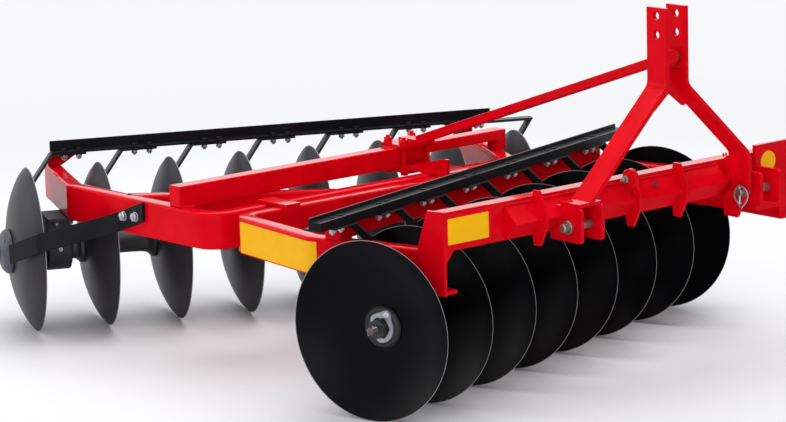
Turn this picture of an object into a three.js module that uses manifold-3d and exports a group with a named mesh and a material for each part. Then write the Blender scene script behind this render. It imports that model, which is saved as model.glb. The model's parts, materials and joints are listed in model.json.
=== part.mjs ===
// A tractor-mounted offset disc harrow: two gangs of concave discs under two bent-tube frames, the front
// gang throwing soil to the right and the rear gang throwing it back to the left.
// Millimetres. +Z is up, +X is the machine's left, and it is pulled towards -Y.

import * as THREE from "three";
import { mergeVertices } from "three/addons/utils/BufferGeometryUtils.js";
import Module from "manifold-3d";

const wasm = await Module();
wasm.setup();

// ---- Driving dimensions -------------------------------------------------------------------------------

const gap = 0.3; // between pieces that touch on the real machine

const discCount = 8; // on each gang
const discDiameter = 560;
const discThickness = 5;
const dishDepth = 70; // rim plane to the hollow side of the flat centre
const discSeatDiameter = 120; // flat centre, clamped by the spools
const discSpacing = 248.5; // rim plane to rim plane
const discSegments = 24;

const axleSquare = 38; // across the flats of the square gang axle
const boreClearance = 0.4; // around axles and pins
const journalClearance = 1.2; // around the axle's bearing sleeves
const spoolFlangeDiameter = 116;
const spoolFlangeLength = 18;
const spoolNeckDiameter = 76;
const journalDiameter = 84; // the bearing's own sleeve, in place of a spool neck
const journalLength = 100;
const endWasherDiameter = 118;
const endWasherLength = 16;
const nutAcrossFlats = 62;
const nutLength = 30;
const threadDiameter = 36;
const threadTip = 24; // beyond the nut
const bellDiameter = 152; // cast end bell on the convex side of an end disc
const bellLength = 46;

const frontGangAngle = 15.6; // degrees, the gang's left end swept back
const rearGangAngle = 24.2; // degrees, the gang's left end swept forward
const gangPinch = 583; // rim centre to rim centre of the two gangs' last discs, where they come closest
const rearGangShift = -22; // the rear gang's right disc, to the right of the front gang's

const tubeWidth = 56; // frame tube, laid on edge
const tubeHeight = 120;
const frameTop = 515; // top of both frames
const frontCrossing = 165; // along the gang axis from a rim plane to the middle of the tube that crosses it
const rearCrossing = 136;
const bendRadius = 60; // frame tube bends, on the centre line

const beamBehindDisc = 312; // front frame's rear beam behind the rim centre of the front gang's last disc
const frameSeparation = 80; // centre to centre, front frame's rear beam to rear frame's front beam
const rearFrameSideX = 70; // centre line of the rear frame's right side at its front corner
const rearFrameLean = 14; // how far that side leans outwards towards the back
const frontEndY = -137.5; // front ends of the front frame's arms, under the hitch beam
const frontArmBend = 260; // ahead of the gang's axis, where the left arm turns straight forward
const rearArmReach = 300; // how far the rear frame's arms pass beyond the rear gang's axis

const hitchOffset = 122; // hitch centre to the left of the hitch beam's middle
const hitchBeamFront = -140; // front face of the hitch beam
const hitchBeamRight = 178;
const hitchBeamOverhang = 35; // beyond the left arm's centre line
const hitchBeamDepth = 50;
const hitchAngleReach = 54; // the angle section welded to the beam's face, corner forward
const hitchAngleBottom = 517;
const hitchAngleTop = 621;
const hitchAngleRight = 634; // from the hitch centre to the angle section's right end
const hitchAngleLeft = 285;

const clevisInner = 350; // hitch centre to the middle of an inner clevis plate
const clevisOuter = 436;
const clevisPlate = 14;
const clevisReach = 135; // forward of the beam's face
const clevisHeight = 122;
const pinDiameter = 28;
const pinHeight = 537;
const pinForward = 82; // pin centre ahead of the beam's face
const pinProud = 30; // beyond the clevis plates

const mastHeight = 610; // lower hitch pins to the upper top-link hole
const mastHolePitch = 60;
const mastHoleDiameter = 26;
const mastTopMargin = 26; // hole centre to the top end
const mastPlate = 14;
const mastPitch = 85; // middle to middle of the two mast plates
const mastWidth = 84; // fore and aft
const mastElbowZ = 925;
const mastCentreY = -222;
const mastSpacerZ = 1010;
const mastSpacerDiameter = 34;

const barWidth = 58; // the long bar over the rear frame
const barHeight = 70;
const barStep = 34; // left of the clamp the bar is shallower by this much, to pass over the discs
const barBehindBeam = 142; // the bar's front face behind the rear frame's front beam
const barRight = 46;
const barFoot = 40; // the bar's left end stands on the rear frame's left arm

const clampOffset = 21; // the clamp that takes the stay, right of the hitch centre
const clampPlateX = 150;
const clampPlateY = 110;
const clampPlateZ = 12;
const stayHeight = 28;
const stayWidth = 50;

const braceSetback = 440; // behind the rear frame's front beam, where the brace meets the right arm
const braceReach = 485; // where it meets the beam, to the left of the right arm

const railHeight = 40; // scraper rails
const railWidth = 45;
const railThickness = 6;
const frontRailN = 150; // behind the front gang's axis
const frontRailDepth = 40; // fore and aft, in front of the upright strip
const frontRailHeight = 28;
const frontRailRight = -30; // along the gang axis
const frontRailOverhang = 46; // beyond the last rim plane
const carrierWidth = 60; // red beam that carries the front rail
const carrierHeight = 60;
const rearRailN = 205;
const rearRailBottom = 563;
const rearRailRight = 120;
const rearRailUnderhang = 24; // short of the last rim plane
const scraperArmWidth = 40;
const scraperArmThickness = 8;

const bearingLength = 80;
const bearingDiameter = 150;
const bearingFootWidth = 150;
const bearingFootThickness = 14;
const frontBearingOffset = 165; // along the gang axis from a rim plane
const rearBearingOffset = 85;

const plateThickness = 12;
const bracketReach = 187; // from the hitch beam's right end to the left edge of the bracket's front plate
const bracketStandoff = 4.3; // between the bracket's side plate and the arm it stands beside
const bracketHead = 60; // length of the side plate at its top, at its widest and at its foot
const bracketWaist = 95;
const bracketToe = 30;
const bracketGusset = 40;
const clampTongue = 30; // the clamp's lower plate reaches forward under the frame link
const clampBolt = 16;
const sidePostX = 275;
const guardHeight = 65;
const guardThickness = 12;
const guardCentreZ = 482; // at its front end
const guardFall = 0.375; // it drops this much for each unit it runs backwards
const mastBaseOffset = 313; // base plate of the mast's left leg, from the hitch centre
const ribOffsets = [-515, -117, 89]; // from the hitch centre
const ribThickness = 10;
const mastRightFootZ = 602;
const carrierN = 223;
const carrierOverhang = 34; // beyond the middles of the arms it rests on

// ---- Derived values -----------------------------------------------------------------------------------

const discRadius = discDiameter / 2;
const gangLength = discSpacing * (discCount - 1);
const frameBottom = frameTop - tubeHeight;
const hitchBeamTop = frameTop + gap + tubeHeight;
const hitchBeamBottom = frameTop + gap;
const sine = (degrees) => Math.sin(THREE.MathUtils.degToRad(degrees));
const frontBeamY = gangLength * sine(frontGangAngle) + beamBehindDisc;
const rearGangSetback = gangLength * (sine(frontGangAngle) + sine(rearGangAngle)) + gangPinch;
const rearBeamY = frontBeamY + frameSeparation;
const barFront = rearBeamY + barBehindBeam;
const mastTop = pinHeight + mastHeight + mastTopMargin;
const lastBay = (discCount - 2) * discSpacing; // rim plane at the right of the last bay
const cornerRun = bendRadius + 60; // from a frame's corner to the joint with its arm

// ---- Materials ----------------------------------------------------------------------------------------

const redPaint = new THREE.MeshStandardMaterial({ color: 0xd3121c, roughness: 0.32, metalness: 0.1 });
const blackPaint = new THREE.MeshStandardMaterial({ color: 0x1a1c1f, roughness: 0.5, metalness: 0.2 });
const discSteel = new THREE.MeshStandardMaterial({ color: 0x131416, roughness: 0.42, metalness: 0.5 });
const bareSteel = new THREE.MeshStandardMaterial({ color: 0xa9a49a, roughness: 0.35, metalness: 0.9 });

// ---- Making and joining solids ------------------------------------------------------------------------

// A closed geometry as a solid, with its shared vertices merged.
function solidOf(geometry) {
  geometry.deleteAttribute("normal");
  geometry.deleteAttribute("uv");
  const merged = mergeVertices(geometry, 1e-3);
  const vertProperties = new Float32Array(merged.attributes.position.array);
  const triVerts = new Uint32Array(merged.index.array);
  return new wasm.Manifold(new wasm.Mesh({ numProp: 3, vertProperties, triVerts }));
}

function geometryOf(solid) {
  const { vertProperties, triVerts } = solid.getMesh();
  const geometry = new THREE.BufferGeometry();
  geometry.setAttribute("position", new THREE.BufferAttribute(vertProperties, 3));
  geometry.setIndex(new THREE.BufferAttribute(triVerts, 1));
  geometry.computeVertexNormals();
  return geometry;
}

function joined(...solids) {
  return solids.reduce((all, next) => all.add(next));
}

function piece(parent, name, solid, material) {
  const mesh = new THREE.Mesh(geometryOf(solid), material);
  mesh.name = name;
  parent.add(mesh);
  return mesh;
}

// A box given by its lowest and highest corners.
function block([x0, y0, z0], [x1, y1, z1]) {
  const geometry = new THREE.BoxGeometry(x1 - x0, y1 - y0, z1 - z0);
  return solidOf(geometry.translate((x0 + x1) / 2, (y0 + y1) / 2, (z0 + z1) / 2));
}

// A round bar between two points.
function roundBar(from, to, diameter, segments = 20) {
  const a = new THREE.Vector3(...from);
  const b = new THREE.Vector3(...to);
  const along = b.clone().sub(a);
  const geometry = new THREE.CylinderGeometry(diameter / 2, diameter / 2, along.length(), segments);
  const turn = new THREE.Quaternion().setFromUnitVectors(new THREE.Vector3(0, 1, 0), along.normalize());
  geometry.applyQuaternion(turn);
  return solidOf(geometry.translate(...a.add(b).multiplyScalar(0.5)));
}

// A rectangular bar between two points, its height measured as near to upright as its slope allows.
function flatBar(from, to, width, height) {
  const a = new THREE.Vector3(...from);
  const b = new THREE.Vector3(...to);
  const along = b.clone().sub(a);
  const geometry = new THREE.BoxGeometry(along.length(), width, height);
  const x = along.clone().normalize();
  const y = new THREE.Vector3(0, 0, 1).cross(x).normalize();
  const z = x.clone().cross(y);
  geometry.applyMatrix4(new THREE.Matrix4().makeBasis(x, y, z));
  return solidOf(geometry.translate(...a.add(b).multiplyScalar(0.5)));
}

function shapeOf(points) {
  return new THREE.Shape(points.map(([u, v]) => new THREE.Vector2(u, v)));
}

// An outline drawn in plan and pulled up from one height to another.
function prism(points, z0, z1) {
  const options = { depth: z1 - z0, bevelEnabled: false };
  return solidOf(new THREE.ExtrudeGeometry(shapeOf(points), options).translate(0, 0, z0));
}

// An outline drawn in the YZ plane and pulled along X.
function crosswise(points, x0, x1) {
  const options = { depth: x1 - x0, bevelEnabled: false };
  const geometry = new THREE.ExtrudeGeometry(shapeOf(points), options);
  const turn = new THREE.Matrix4().makeBasis(
    new THREE.Vector3(0, 1, 0),
    new THREE.Vector3(0, 0, 1),
    new THREE.Vector3(1, 0, 0),
  );
  return solidOf(geometry.applyMatrix4(turn).translate(x0, 0, 0));
}

// An outline drawn in the XZ plane and pulled along Y.
function fromFront(points, y0, y1) {
  const options = { depth: y1 - y0, bevelEnabled: false };
  const geometry = new THREE.ExtrudeGeometry(shapeOf(points), options);
  const turn = new THREE.Matrix4().makeBasis(
    new THREE.Vector3(1, 0, 0),
    new THREE.Vector3(0, 0, 1),
    new THREE.Vector3(0, -1, 0),
  );
  return solidOf(geometry.applyMatrix4(turn).translate(0, y1, 0));
}

// A profile of [distance along, radius] turned about the X axis.
function turned(profile, segments) {
  const points = profile.map(([along, radius]) => new THREE.Vector2(radius, along));
  const geometry = new THREE.LatheGeometry(points, segments);
  geometry.rotateZ(-Math.PI / 2);
  const solid = solidOf(geometry);
  return solid;
}

// The centre line of a bent tube in plan: straight runs with a round bend at each inner point.
function bentLine(points, radius, steps = 5) {
  const line = [points[0]];
  for (let i = 1; i < points.length - 1; i += 1) {
    const corner = new THREE.Vector2(...points[i]);
    const into = new THREE.Vector2(...points[i - 1]).sub(corner).normalize();
    const out = new THREE.Vector2(...points[i + 1]).sub(corner).normalize();
    const half = into.angleTo(out) / 2;
    const setback = radius / Math.tan(half);
    const centre = corner.clone().add(
      into.clone().add(out).normalize().multiplyScalar(radius / Math.sin(half)),
    );
    const start = corner.clone().add(into.multiplyScalar(setback)).sub(centre);
    const end = corner.clone().add(out.multiplyScalar(setback)).sub(centre);
    const turn = Math.atan2(start.cross(end), start.dot(end));
    for (let step = 0; step <= steps; step += 1) {
      const at = start.clone().rotateAround(new THREE.Vector2(), (turn * step) / steps).add(centre);
      line.push([at.x, at.y]);
    }
  }
  line.push(points[points.length - 1]);
  return line;
}

// The plan outline of a tube of one width along a centre line.
function widened(line, width) {
  const sides = [[], []];
  line.forEach((point, i) => {
    const before = new THREE.Vector2(...line[Math.max(i - 1, 0)]);
    const here = new THREE.Vector2(...point);
    const after = new THREE.Vector2(...line[Math.min(i + 1, line.length - 1)]);
    const into = here.clone().sub(before);
    const out = after.clone().sub(here);
    const along = into.clone().normalize().add(out.clone().normalize()).normalize();
    const straight = into.length() ? into : out;
    const stretch = 1 / Math.abs(along.dot(straight.clone().normalize()));
    const side = new THREE.Vector2(-along.y, along.x).multiplyScalar((width / 2) * stretch);
    sides[0].push([here.x + side.x, here.y + side.y]);
    sides[1].unshift([here.x - side.x, here.y - side.y]);
  });
  return [...sides[0], ...sides[1]];
}

function bentTube(points, radius = bendRadius) {
  return prism(widened(bentLine(points, radius), tubeWidth), frameBottom, frameTop);
}

// ---- Places on a gang ---------------------------------------------------------------------------------

// A gang's own frame: its origin is the rim centre of its right-hand disc, x runs along its axis to the
// machine's left, and y points backwards.
function gangFrame(x, y, degrees) {
  const turn = THREE.MathUtils.degToRad(degrees);
  return {
    place(along, behind) {
      return [
        x + along * Math.cos(turn) - behind * Math.sin(turn),
        y + along * Math.sin(turn) + behind * Math.cos(turn),
      ];
    },
    group() {
      const group = new THREE.Group();
      group.position.set(x, y, discRadius);
      group.rotation.z = turn;
      return group;
    },
  };
}

const frontGang = gangFrame(0, 0, frontGangAngle);
const rearGang = gangFrame(rearGangShift, rearGangSetback, -rearGangAngle);

// Where the line that runs backwards across a gang at one distance along it reaches a given X or Y.
function crossingAt(gang, along, axis, value) {
  const a = gang.place(along, 0);
  const b = gang.place(along, 1);
  const behind = (value - a[axis]) / (b[axis] - a[axis]);
  return gang.place(along, behind);
}

// ---- Places that follow from the gangs ------------------------------------------------------------------

const frontArmSpread = frontGang.place(lastBay + frontCrossing, -frontArmBend)[0];
const hitchBeamLeft = frontArmSpread + hitchBeamOverhang;
const hitchCentreX = (hitchBeamRight + hitchBeamLeft) / 2 + hitchOffset;
const hitchAngleStart = hitchCentreX - hitchAngleRight;
const hitchAngleEnd = hitchCentreX + hitchAngleLeft;
const ribPlaces = ribOffsets.map((x) => hitchCentreX + x);
const mastBaseX = hitchCentreX + mastBaseOffset;
const clampX = hitchCentreX - clampOffset;
const carrierRight = frontCrossing - carrierOverhang;
const carrierLeft = lastBay + frontCrossing + carrierOverhang;
const frontRailLeft = gangLength + frontRailOverhang;
const rearRailLeft = gangLength - rearRailUnderhang;
const barMiddleY = barFront + barWidth / 2;
const barLeft = crossingAt(rearGang, lastBay + rearCrossing, 1, barMiddleY)[0] + barFoot * 0.85;

// ---- Discs and axles ----------------------------------------------------------------------------------

// Depth of the dish at a radius, measured from the rim plane.
function dishAt(radius) {
  const reach = discRadius - discSeatDiameter / 2;
  const sphere = (reach * reach + dishDepth * dishDepth) / (2 * dishDepth);
  const out = Math.max(radius - discSeatDiameter / 2, 0);
  return Math.sqrt(sphere * sphere - out * out) - (sphere - dishDepth);
}

function discSolid(bulge) {
  const bore = axleSquare * Math.SQRT1_2 + boreClearance;
  const radii = [bore, discSeatDiameter / 2, discRadius * 0.64, discRadius];
  const hollow = radii.map((r) => [dishAt(r), r]);
  const back = radii.map((r) => [dishAt(r) + discThickness, r]).reverse();
  const outline = [...hollow, ...back, hollow[0]];
  if (bulge > 0) return turned(outline, discSegments);
  return turned(outline.map(([along, r]) => [-along, r]).reverse(), discSegments);
}

// The square axle with every spool on it. The bearing sleeves take the place of a spool's neck.
function axleSolid(bulge, bearingOffset) {
  const seatHollow = bulge * dishDepth;
  const seatBack = bulge * (dishDepth + discThickness);
  const low = Math.min(seatHollow, seatBack) - gap;
  const high = Math.max(seatHollow, seatBack) + gap;
  const end = gangLength;
  const half = axleSquare / 2;
  const solids = [block([low - 20, -half, -half], [end + high + 20, half, half])];
  for (let bay = 0; bay < discCount - 1; bay += 1) {
    const from = bay * discSpacing + high;
    const to = (bay + 1) * discSpacing + low;
    const flange = spoolFlangeDiameter / 2;
    const neck = spoolNeckDiameter / 2;
    const profile = [[from, 0], [from, flange], [from + spoolFlangeLength, neck]];
    if (bay === 0 || bay === discCount - 2) {
      const middle = bay * discSpacing + bearingOffset;
      const sleeve = journalDiameter / 2;
      profile.push([middle - journalLength / 2, neck], [middle - journalLength / 2, sleeve]);
      profile.push([middle + journalLength / 2, sleeve], [middle + journalLength / 2, neck]);
    }
    profile.push([to - spoolFlangeLength, neck], [to, flange], [to, 0]);
    solids.push(turned(profile.filter(([along]) => along >= from && along <= to), 16));
  }
  return joined(...solids);
}

// Washer, nut and the threaded tip of the axle, outside the hollow side of an end disc.
function nutEnd(at, outward) {
  const along = (distance) => at + outward * distance;
  const washer = turnedBetween(along(gap), along(gap + endWasherLength), endWasherDiameter, 24);
  const nutStart = endWasherLength - 1;
  const nut = turnedBetween(along(nutStart), along(nutStart + nutLength), nutAcrossFlats * 1.15, 6);
  const tip = turnedBetween(along(nutStart), along(nutStart + nutLength + threadTip), threadDiameter, 16);
  return joined(washer, nut, tip);
}

// Domed cast bell outside the back of an end disc.
function bellEnd(at, outward) {
  const radius = bellDiameter / 2;
  const profile = [
    [0, 0],
    [0, radius * 0.8],
    [bellLength * 0.3, radius],
    [bellLength * 0.62, radius * 0.86],
    [bellLength * 0.92, radius * 0.45],
    [bellLength, 0],
  ];
  const placed = profile.map(([along, r]) => [at + outward * (gap + along), r]);
  return turned(outward > 0 ? placed : placed.reverse(), 24);
}

function turnedBetween(a, b, diameter, segments) {
  const low = Math.min(a, b);
  const high = Math.max(a, b);
  return turned([[low, 0], [low, diameter / 2], [high, diameter / 2], [high, 0]], segments);
}

function addGang(root, gang, label, bulge, bearingOffset) {
  const group = gang.group();
  root.add(group);
  for (let i = 0; i < discCount; i += 1) {
    const mesh = piece(group, `${label}_disc_${i + 1}`, discSolid(bulge), discSteel);
    mesh.position.x = i * discSpacing;
  }
  const hollowEnd = bulge > 0 ? 0 : gangLength;
  const backEnd = bulge > 0 ? gangLength : 0;
  const axle = joined(
    axleSolid(bulge, bearingOffset),
    nutEnd(hollowEnd + bulge * dishDepth, -bulge),
    bellEnd(backEnd + bulge * (dishDepth + discThickness), bulge),
  );
  piece(group, `${label}_gang_axle`, axle, blackPaint);
}

// ---- Bearings that hang the gangs from the frames -------------------------------------------------------

// A block bearing round the axle's sleeve, with a foot that bolts under the frame tube.
function bearingSolid(offset, crossing) {
  const top = frameBottom - discRadius - gap;
  const half = bearingDiameter / 2;
  const bore = journalDiameter / 2 + journalClearance;
  const body = turnedBetween(offset - bearingLength / 2, offset + bearingLength / 2, bearingDiameter, 24);
  const start = offset - bearingLength / 2;
  const neck = block([start, -half * 0.8, 0], [start + bearingLength, half * 0.8, top]);
  const low = Math.min(offset - bearingLength / 2, crossing - tubeWidth / 2 + 4);
  const high = Math.max(offset + bearingLength / 2, crossing + tubeWidth / 2 - 4);
  const foot = block(
    [low, -bearingFootWidth / 2, top - bearingFootThickness],
    [high, bearingFootWidth / 2, top],
  );
  const hole = turnedBetween(offset - bearingLength, offset + bearingLength, bore * 2, 24);
  return joined(body, neck, foot).subtract(hole);
}

function addBearings(root, gang, label, offset, crossing) {
  const group = gang.group();
  root.add(group);
  [["right", 0], ["left", lastBay]].forEach(([side, bay]) => {
    const mesh = piece(group, `${label}_${side}_bearing`, bearingSolid(offset, crossing), blackPaint);
    mesh.position.x = bay;
  });
}

// ---- Frames -------------------------------------------------------------------------------------------

// A point on the way from a to b, a distance away from a.
function towards(a, b, distance) {
  const step = new THREE.Vector2(b[0] - a[0], b[1] - a[1]).normalize().multiplyScalar(distance);
  return [a[0] + step.x, a[1] + step.y];
}

function addFrontFrame(root) {
  const rightCorner = [120, frontBeamY];
  const rightBend = frontGang.place(frontCrossing, 320);
  const rightFront = crossingAt(frontGang, frontCrossing, 1, frontEndY - tubeWidth);
  const leftCorner = crossingAt(frontGang, lastBay + frontCrossing, 1, frontBeamY);
  const leftBend = crossingAt(frontGang, lastBay + frontCrossing, 0, frontArmSpread);
  const leftFront = [frontArmSpread, frontEndY - tubeWidth];
  const beam = [
    towards(rightCorner, rightBend, cornerRun),
    rightCorner,
    leftCorner,
    towards(leftCorner, leftBend, cornerRun),
  ];
  const rightArm = [towards(rightCorner, rightBend, cornerRun + gap), rightBend, rightFront];
  const leftArm = [towards(leftCorner, leftBend, cornerRun + gap), leftBend, leftFront];
  const squareEnd = (tube) => tube.trimByPlane([0, 1, 0], frontEndY);
  piece(root, "front_frame_rear_beam", bentTube(beam), redPaint);
  piece(root, "front_frame_right_arm", squareEnd(bentTube(rightArm)), redPaint);
  piece(root, "front_frame_left_arm", squareEnd(bentTube(leftArm)), redPaint);
}

function addRearFrame(root) {
  const rightCorner = [rearFrameSideX, rearBeamY];
  const rightBend = crossingAt(rearGang, rearCrossing, 0, rearFrameSideX - rearFrameLean);
  const rightEnd = rearGang.place(rearCrossing, rearArmReach);
  const leftCorner = crossingAt(rearGang, lastBay + rearCrossing, 1, rearBeamY);
  const leftEnd = rearGang.place(lastBay + rearCrossing, rearArmReach);
  const beam = [
    towards(rightCorner, rightBend, cornerRun),
    rightCorner,
    leftCorner,
    towards(leftCorner, leftEnd, cornerRun),
  ];
  const rightArm = [towards(rightCorner, rightBend, cornerRun + gap), rightBend, rightEnd];
  const leftArm = [towards(leftCorner, leftEnd, cornerRun + gap), leftEnd];
  piece(root, "rear_frame_front_beam", bentTube(beam), redPaint);
  piece(root, "rear_frame_left_arm", bentTube(leftArm), redPaint);
  const beamBack = rearBeamY + tubeWidth / 2 + gap;
  const cutBeam = block([-100, beamBack - 200, frameBottom - 1], [2000, beamBack, frameTop + 1]);
  const braceStart = [rearFrameSideX + 5, beamBack + braceSetback];
  const braceEnd = [rearFrameSideX + 5 + braceReach, beamBack];
  const brace = bentTube([braceStart, braceEnd]).subtract(cutBeam);
  piece(root, "rear_frame_right_arm", joined(bentTube(rightArm), brace), redPaint);
}

// The long bar over the rear frame, with the clamp that takes the stay from the mast.
function addTopBar(root) {
  const bottom = frameTop + gap;
  const back = barFront + barWidth;
  const step = clampX + clampPlateX / 2;
  const deep = block([barRight, barFront, bottom], [step, back, bottom + barHeight]);
  const shallow = block([step - 1, barFront, bottom + barStep], [barLeft, back, bottom + barHeight]);
  const foot = block([barLeft - barFoot, barFront, bottom], [barLeft, back, bottom + barHeight]);
  piece(root, "top_bar", joined(deep, shallow, foot), redPaint);
  const middle = barFront + barWidth / 2;
  const x0 = clampX - clampPlateX / 2;
  const x1 = clampX + clampPlateX / 2;
  const y0 = middle - clampPlateY / 2;
  const y1 = middle + clampPlateY / 2;
  const top = bottom + barHeight + gap;
  const upper = block([x0, y0, top], [x1, y1, top + clampPlateZ]);
  const lower = block([x0, y0 - clampTongue, bottom - gap - clampPlateZ], [x1, y1, bottom - gap]);
  const bolts = [];
  [x0 + 22, x1 - 22].forEach((x) => {
    [y0 + 14, y1 - 14].forEach((y) => {
      bolts.push(roundBar([x, y, bottom - clampPlateZ], [x, y, top + clampPlateZ + 8], clampBolt, 12));
    });
  });
  piece(root, "bar_clamp", joined(upper, lower, ...bolts), redPaint);
}

// The plates that tie the two frames together where their cross beams run side by side.
function addFrameLinks(root) {
  const front = frontBeamY - tubeWidth / 2;
  const back = rearBeamY + tubeWidth / 2;
  const level = frameTop + gap;
  const strap = block(
    [clampX - 70, front + 4, level],
    [clampX + 50, barFront + barWidth / 2 - clampPlateY / 2 - 4, level + plateThickness],
  );
  const rib = crosswise(
    [[front + 8, level + 2], [back + 40, level + 2], [back + 40, level + 24], [frontBeamY, level + 58],
      [front + 8, level + 58]],
    clampX - 60,
    clampX - 60 + plateThickness,
  );
  piece(root, "frame_link", joined(strap, rib), redPaint);
  const post = block(
    [sidePostX, front - gap - plateThickness, frameBottom],
    [sidePostX + 60, front - gap, level + plateThickness],
  );
  const cap = block(
    [sidePostX, front - gap - plateThickness, level],
    [sidePostX + 60, back - 2, level + plateThickness],
  );
  piece(root, "frame_side_post", joined(post, cap), redPaint);
}

// ---- Scrapers -----------------------------------------------------------------------------------------

// A strip of flat bar that follows a path in the plane of the gang axis and the upright, leaning forward
// as it goes down. It is drawn as [along, height] and pulled across the gang.
function scraperStrip(path, behindAtTop, lean) {
  const outline = widened(path, scraperArmThickness);
  const options = { depth: scraperArmWidth, bevelEnabled: false };
  const geometry = new THREE.ExtrudeGeometry(shapeOf(outline), options);
  const turn = new THREE.Matrix4().makeBasis(
    new THREE.Vector3(1, 0, 0),
    new THREE.Vector3(0, 0, 1),
    new THREE.Vector3(0, -1, 0),
  );
  geometry.applyMatrix4(turn);
  const slope = new THREE.Matrix4().set(1, 0, 0, 0, 0, 1, lean, 0, 0, 0, 1, 0, 0, 0, 0, 1);
  geometry.applyMatrix4(slope);
  const top = path[0][1];
  return solidOf(geometry.translate(0, behindAtTop + scraperArmWidth - lean * top, 0));
}

// The front gang's scrapers hang from a box rail with an upright strip along its back. They clean the hollow
// sides of discs 2 to 8.
function addFrontScrapers(root) {
  const group = frontGang.group();
  root.add(group);
  const level = frameTop + gap - discRadius;
  const carrier = block(
    [carrierRight, carrierN - carrierWidth / 2, level],
    [carrierLeft, carrierN + carrierWidth / 2, level + carrierHeight],
  );
  piece(group, "front_scraper_beam", carrier, redPaint);
  const z = frameTop + 2 * gap + carrierHeight - discRadius;
  const strip = (near, far, low, high) =>
    block([frontRailRight, frontRailN + near, z + low], [frontRailLeft, frontRailN + far, z + high]);
  const back = frontRailDepth + railThickness;
  const rail = joined(
    strip(0, railWidth + 20, 0, railThickness),
    strip(0, railThickness, 0, frontRailHeight),
    strip(0, back, frontRailHeight - railThickness, frontRailHeight),
    strip(frontRailDepth, back, 0, railHeight),
  );
  const arms = [];
  for (let i = 1; i < discCount; i += 1) {
    const at = i * discSpacing;
    const path = [
      [at - 205, z - 3],
      [at - 92, z - 3],
      [at - 78, z - 17],
      [at - 44, 243],
      [at - 20, 205],
      [at + 20, 163],
      [at + 32, 128],
    ];
    arms.push(scraperStrip(path, frontRailN, 0.4));
  }
  piece(group, "front_scraper_rail", joined(rail, ...arms), blackPaint);
}

// The rear gang's eight scrapers hang from an angle rail with its upright leg at the back.
function addRearScrapers(root) {
  const group = rearGang.group();
  root.add(group);
  const z = rearRailBottom - discRadius;
  const railBack = rearRailN + railWidth;
  const rail = joined(
    block([rearRailRight, rearRailN, z], [rearRailLeft, railBack, z + railThickness]),
    block([rearRailRight, railBack - railThickness, z], [rearRailLeft, railBack, z + railHeight]),
  );
  const arms = [];
  for (let i = 0; i < discCount; i += 1) {
    const at = i * discSpacing;
    const flange = Math.min(at + 150, rearRailLeft - 20);
    const path = [
      [flange, z - 3],
      [at + 118, z - 3],
      [at + 40, 196],
      [at + 2, 166],
      [at - 22, 134],
    ];
    arms.push(scraperStrip(path, rearRailN, 0.62));
  }
  piece(group, "rear_scraper_rail", joined(rail, ...arms), blackPaint);
  const level = frameTop + gap - discRadius;
  const behind = railBack + gap;
  const under = rearRailBottom - discRadius;
  [["right", 0, 1], ["left", lastBay, -1]].forEach(([side, bay, way]) => {
    const middle = bay + rearCrossing;
    const outline = [
      [middle - way * 24, level],
      [middle + way * 24, level],
      [middle + way * 96, under],
      [middle + way * 166, under],
      [middle + way * 166, under + 32],
      [middle + way * 84, under + 32],
      [middle - way * 24, level + 26],
    ];
    const facing = way > 0 ? outline : outline.reverse();
    const bracket = fromFront(facing, behind, behind + 8);
    piece(group, `rear_scraper_${side}_bracket`, bracket, redPaint);
  });
}

// ---- Guard arm beside the rear gang's right end disc -----------------------------------------------------

function addGuardArm(root) {
  const face = (y) => {
    const bend = crossingAt(rearGang, rearCrossing, 0, rearFrameSideX - rearFrameLean);
    const share = (y - rearBeamY) / (bend[1] - rearBeamY);
    return rearFrameSideX - rearFrameLean * share - tubeWidth / 2 - 3 * gap - guardThickness / 2;
  };
  const line = bentLine([[face(1180), 1180], [face(1326), 1326], [-168, 1504], [-182, 1655]], 30, 3);
  const outline = widened(line, guardThickness);
  const flat = new THREE.ExtrudeGeometry(shapeOf(outline), { depth: guardHeight, bevelEnabled: false });
  const fall = new THREE.Matrix4().set(1, 0, 0, 0, 0, 1, 0, 0, 0, -guardFall, 1, 0, 0, 0, 0, 1);
  flat.applyMatrix4(fall).translate(0, 0, guardCentreZ + guardFall * 1180 - guardHeight / 2);
  piece(root, "rear_guard_arm", solidOf(flat), blackPaint);
}

// ---- Hitch --------------------------------------------------------------------------------------------

function angleOutline(grow) {
  const middle = (hitchAngleBottom + hitchAngleTop) / 2;
  return [
    [hitchBeamFront - gap, hitchAngleBottom - grow],
    [hitchBeamFront - gap, hitchAngleTop + grow],
    [hitchBeamFront - hitchAngleReach - grow, middle],
  ];
}

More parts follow.
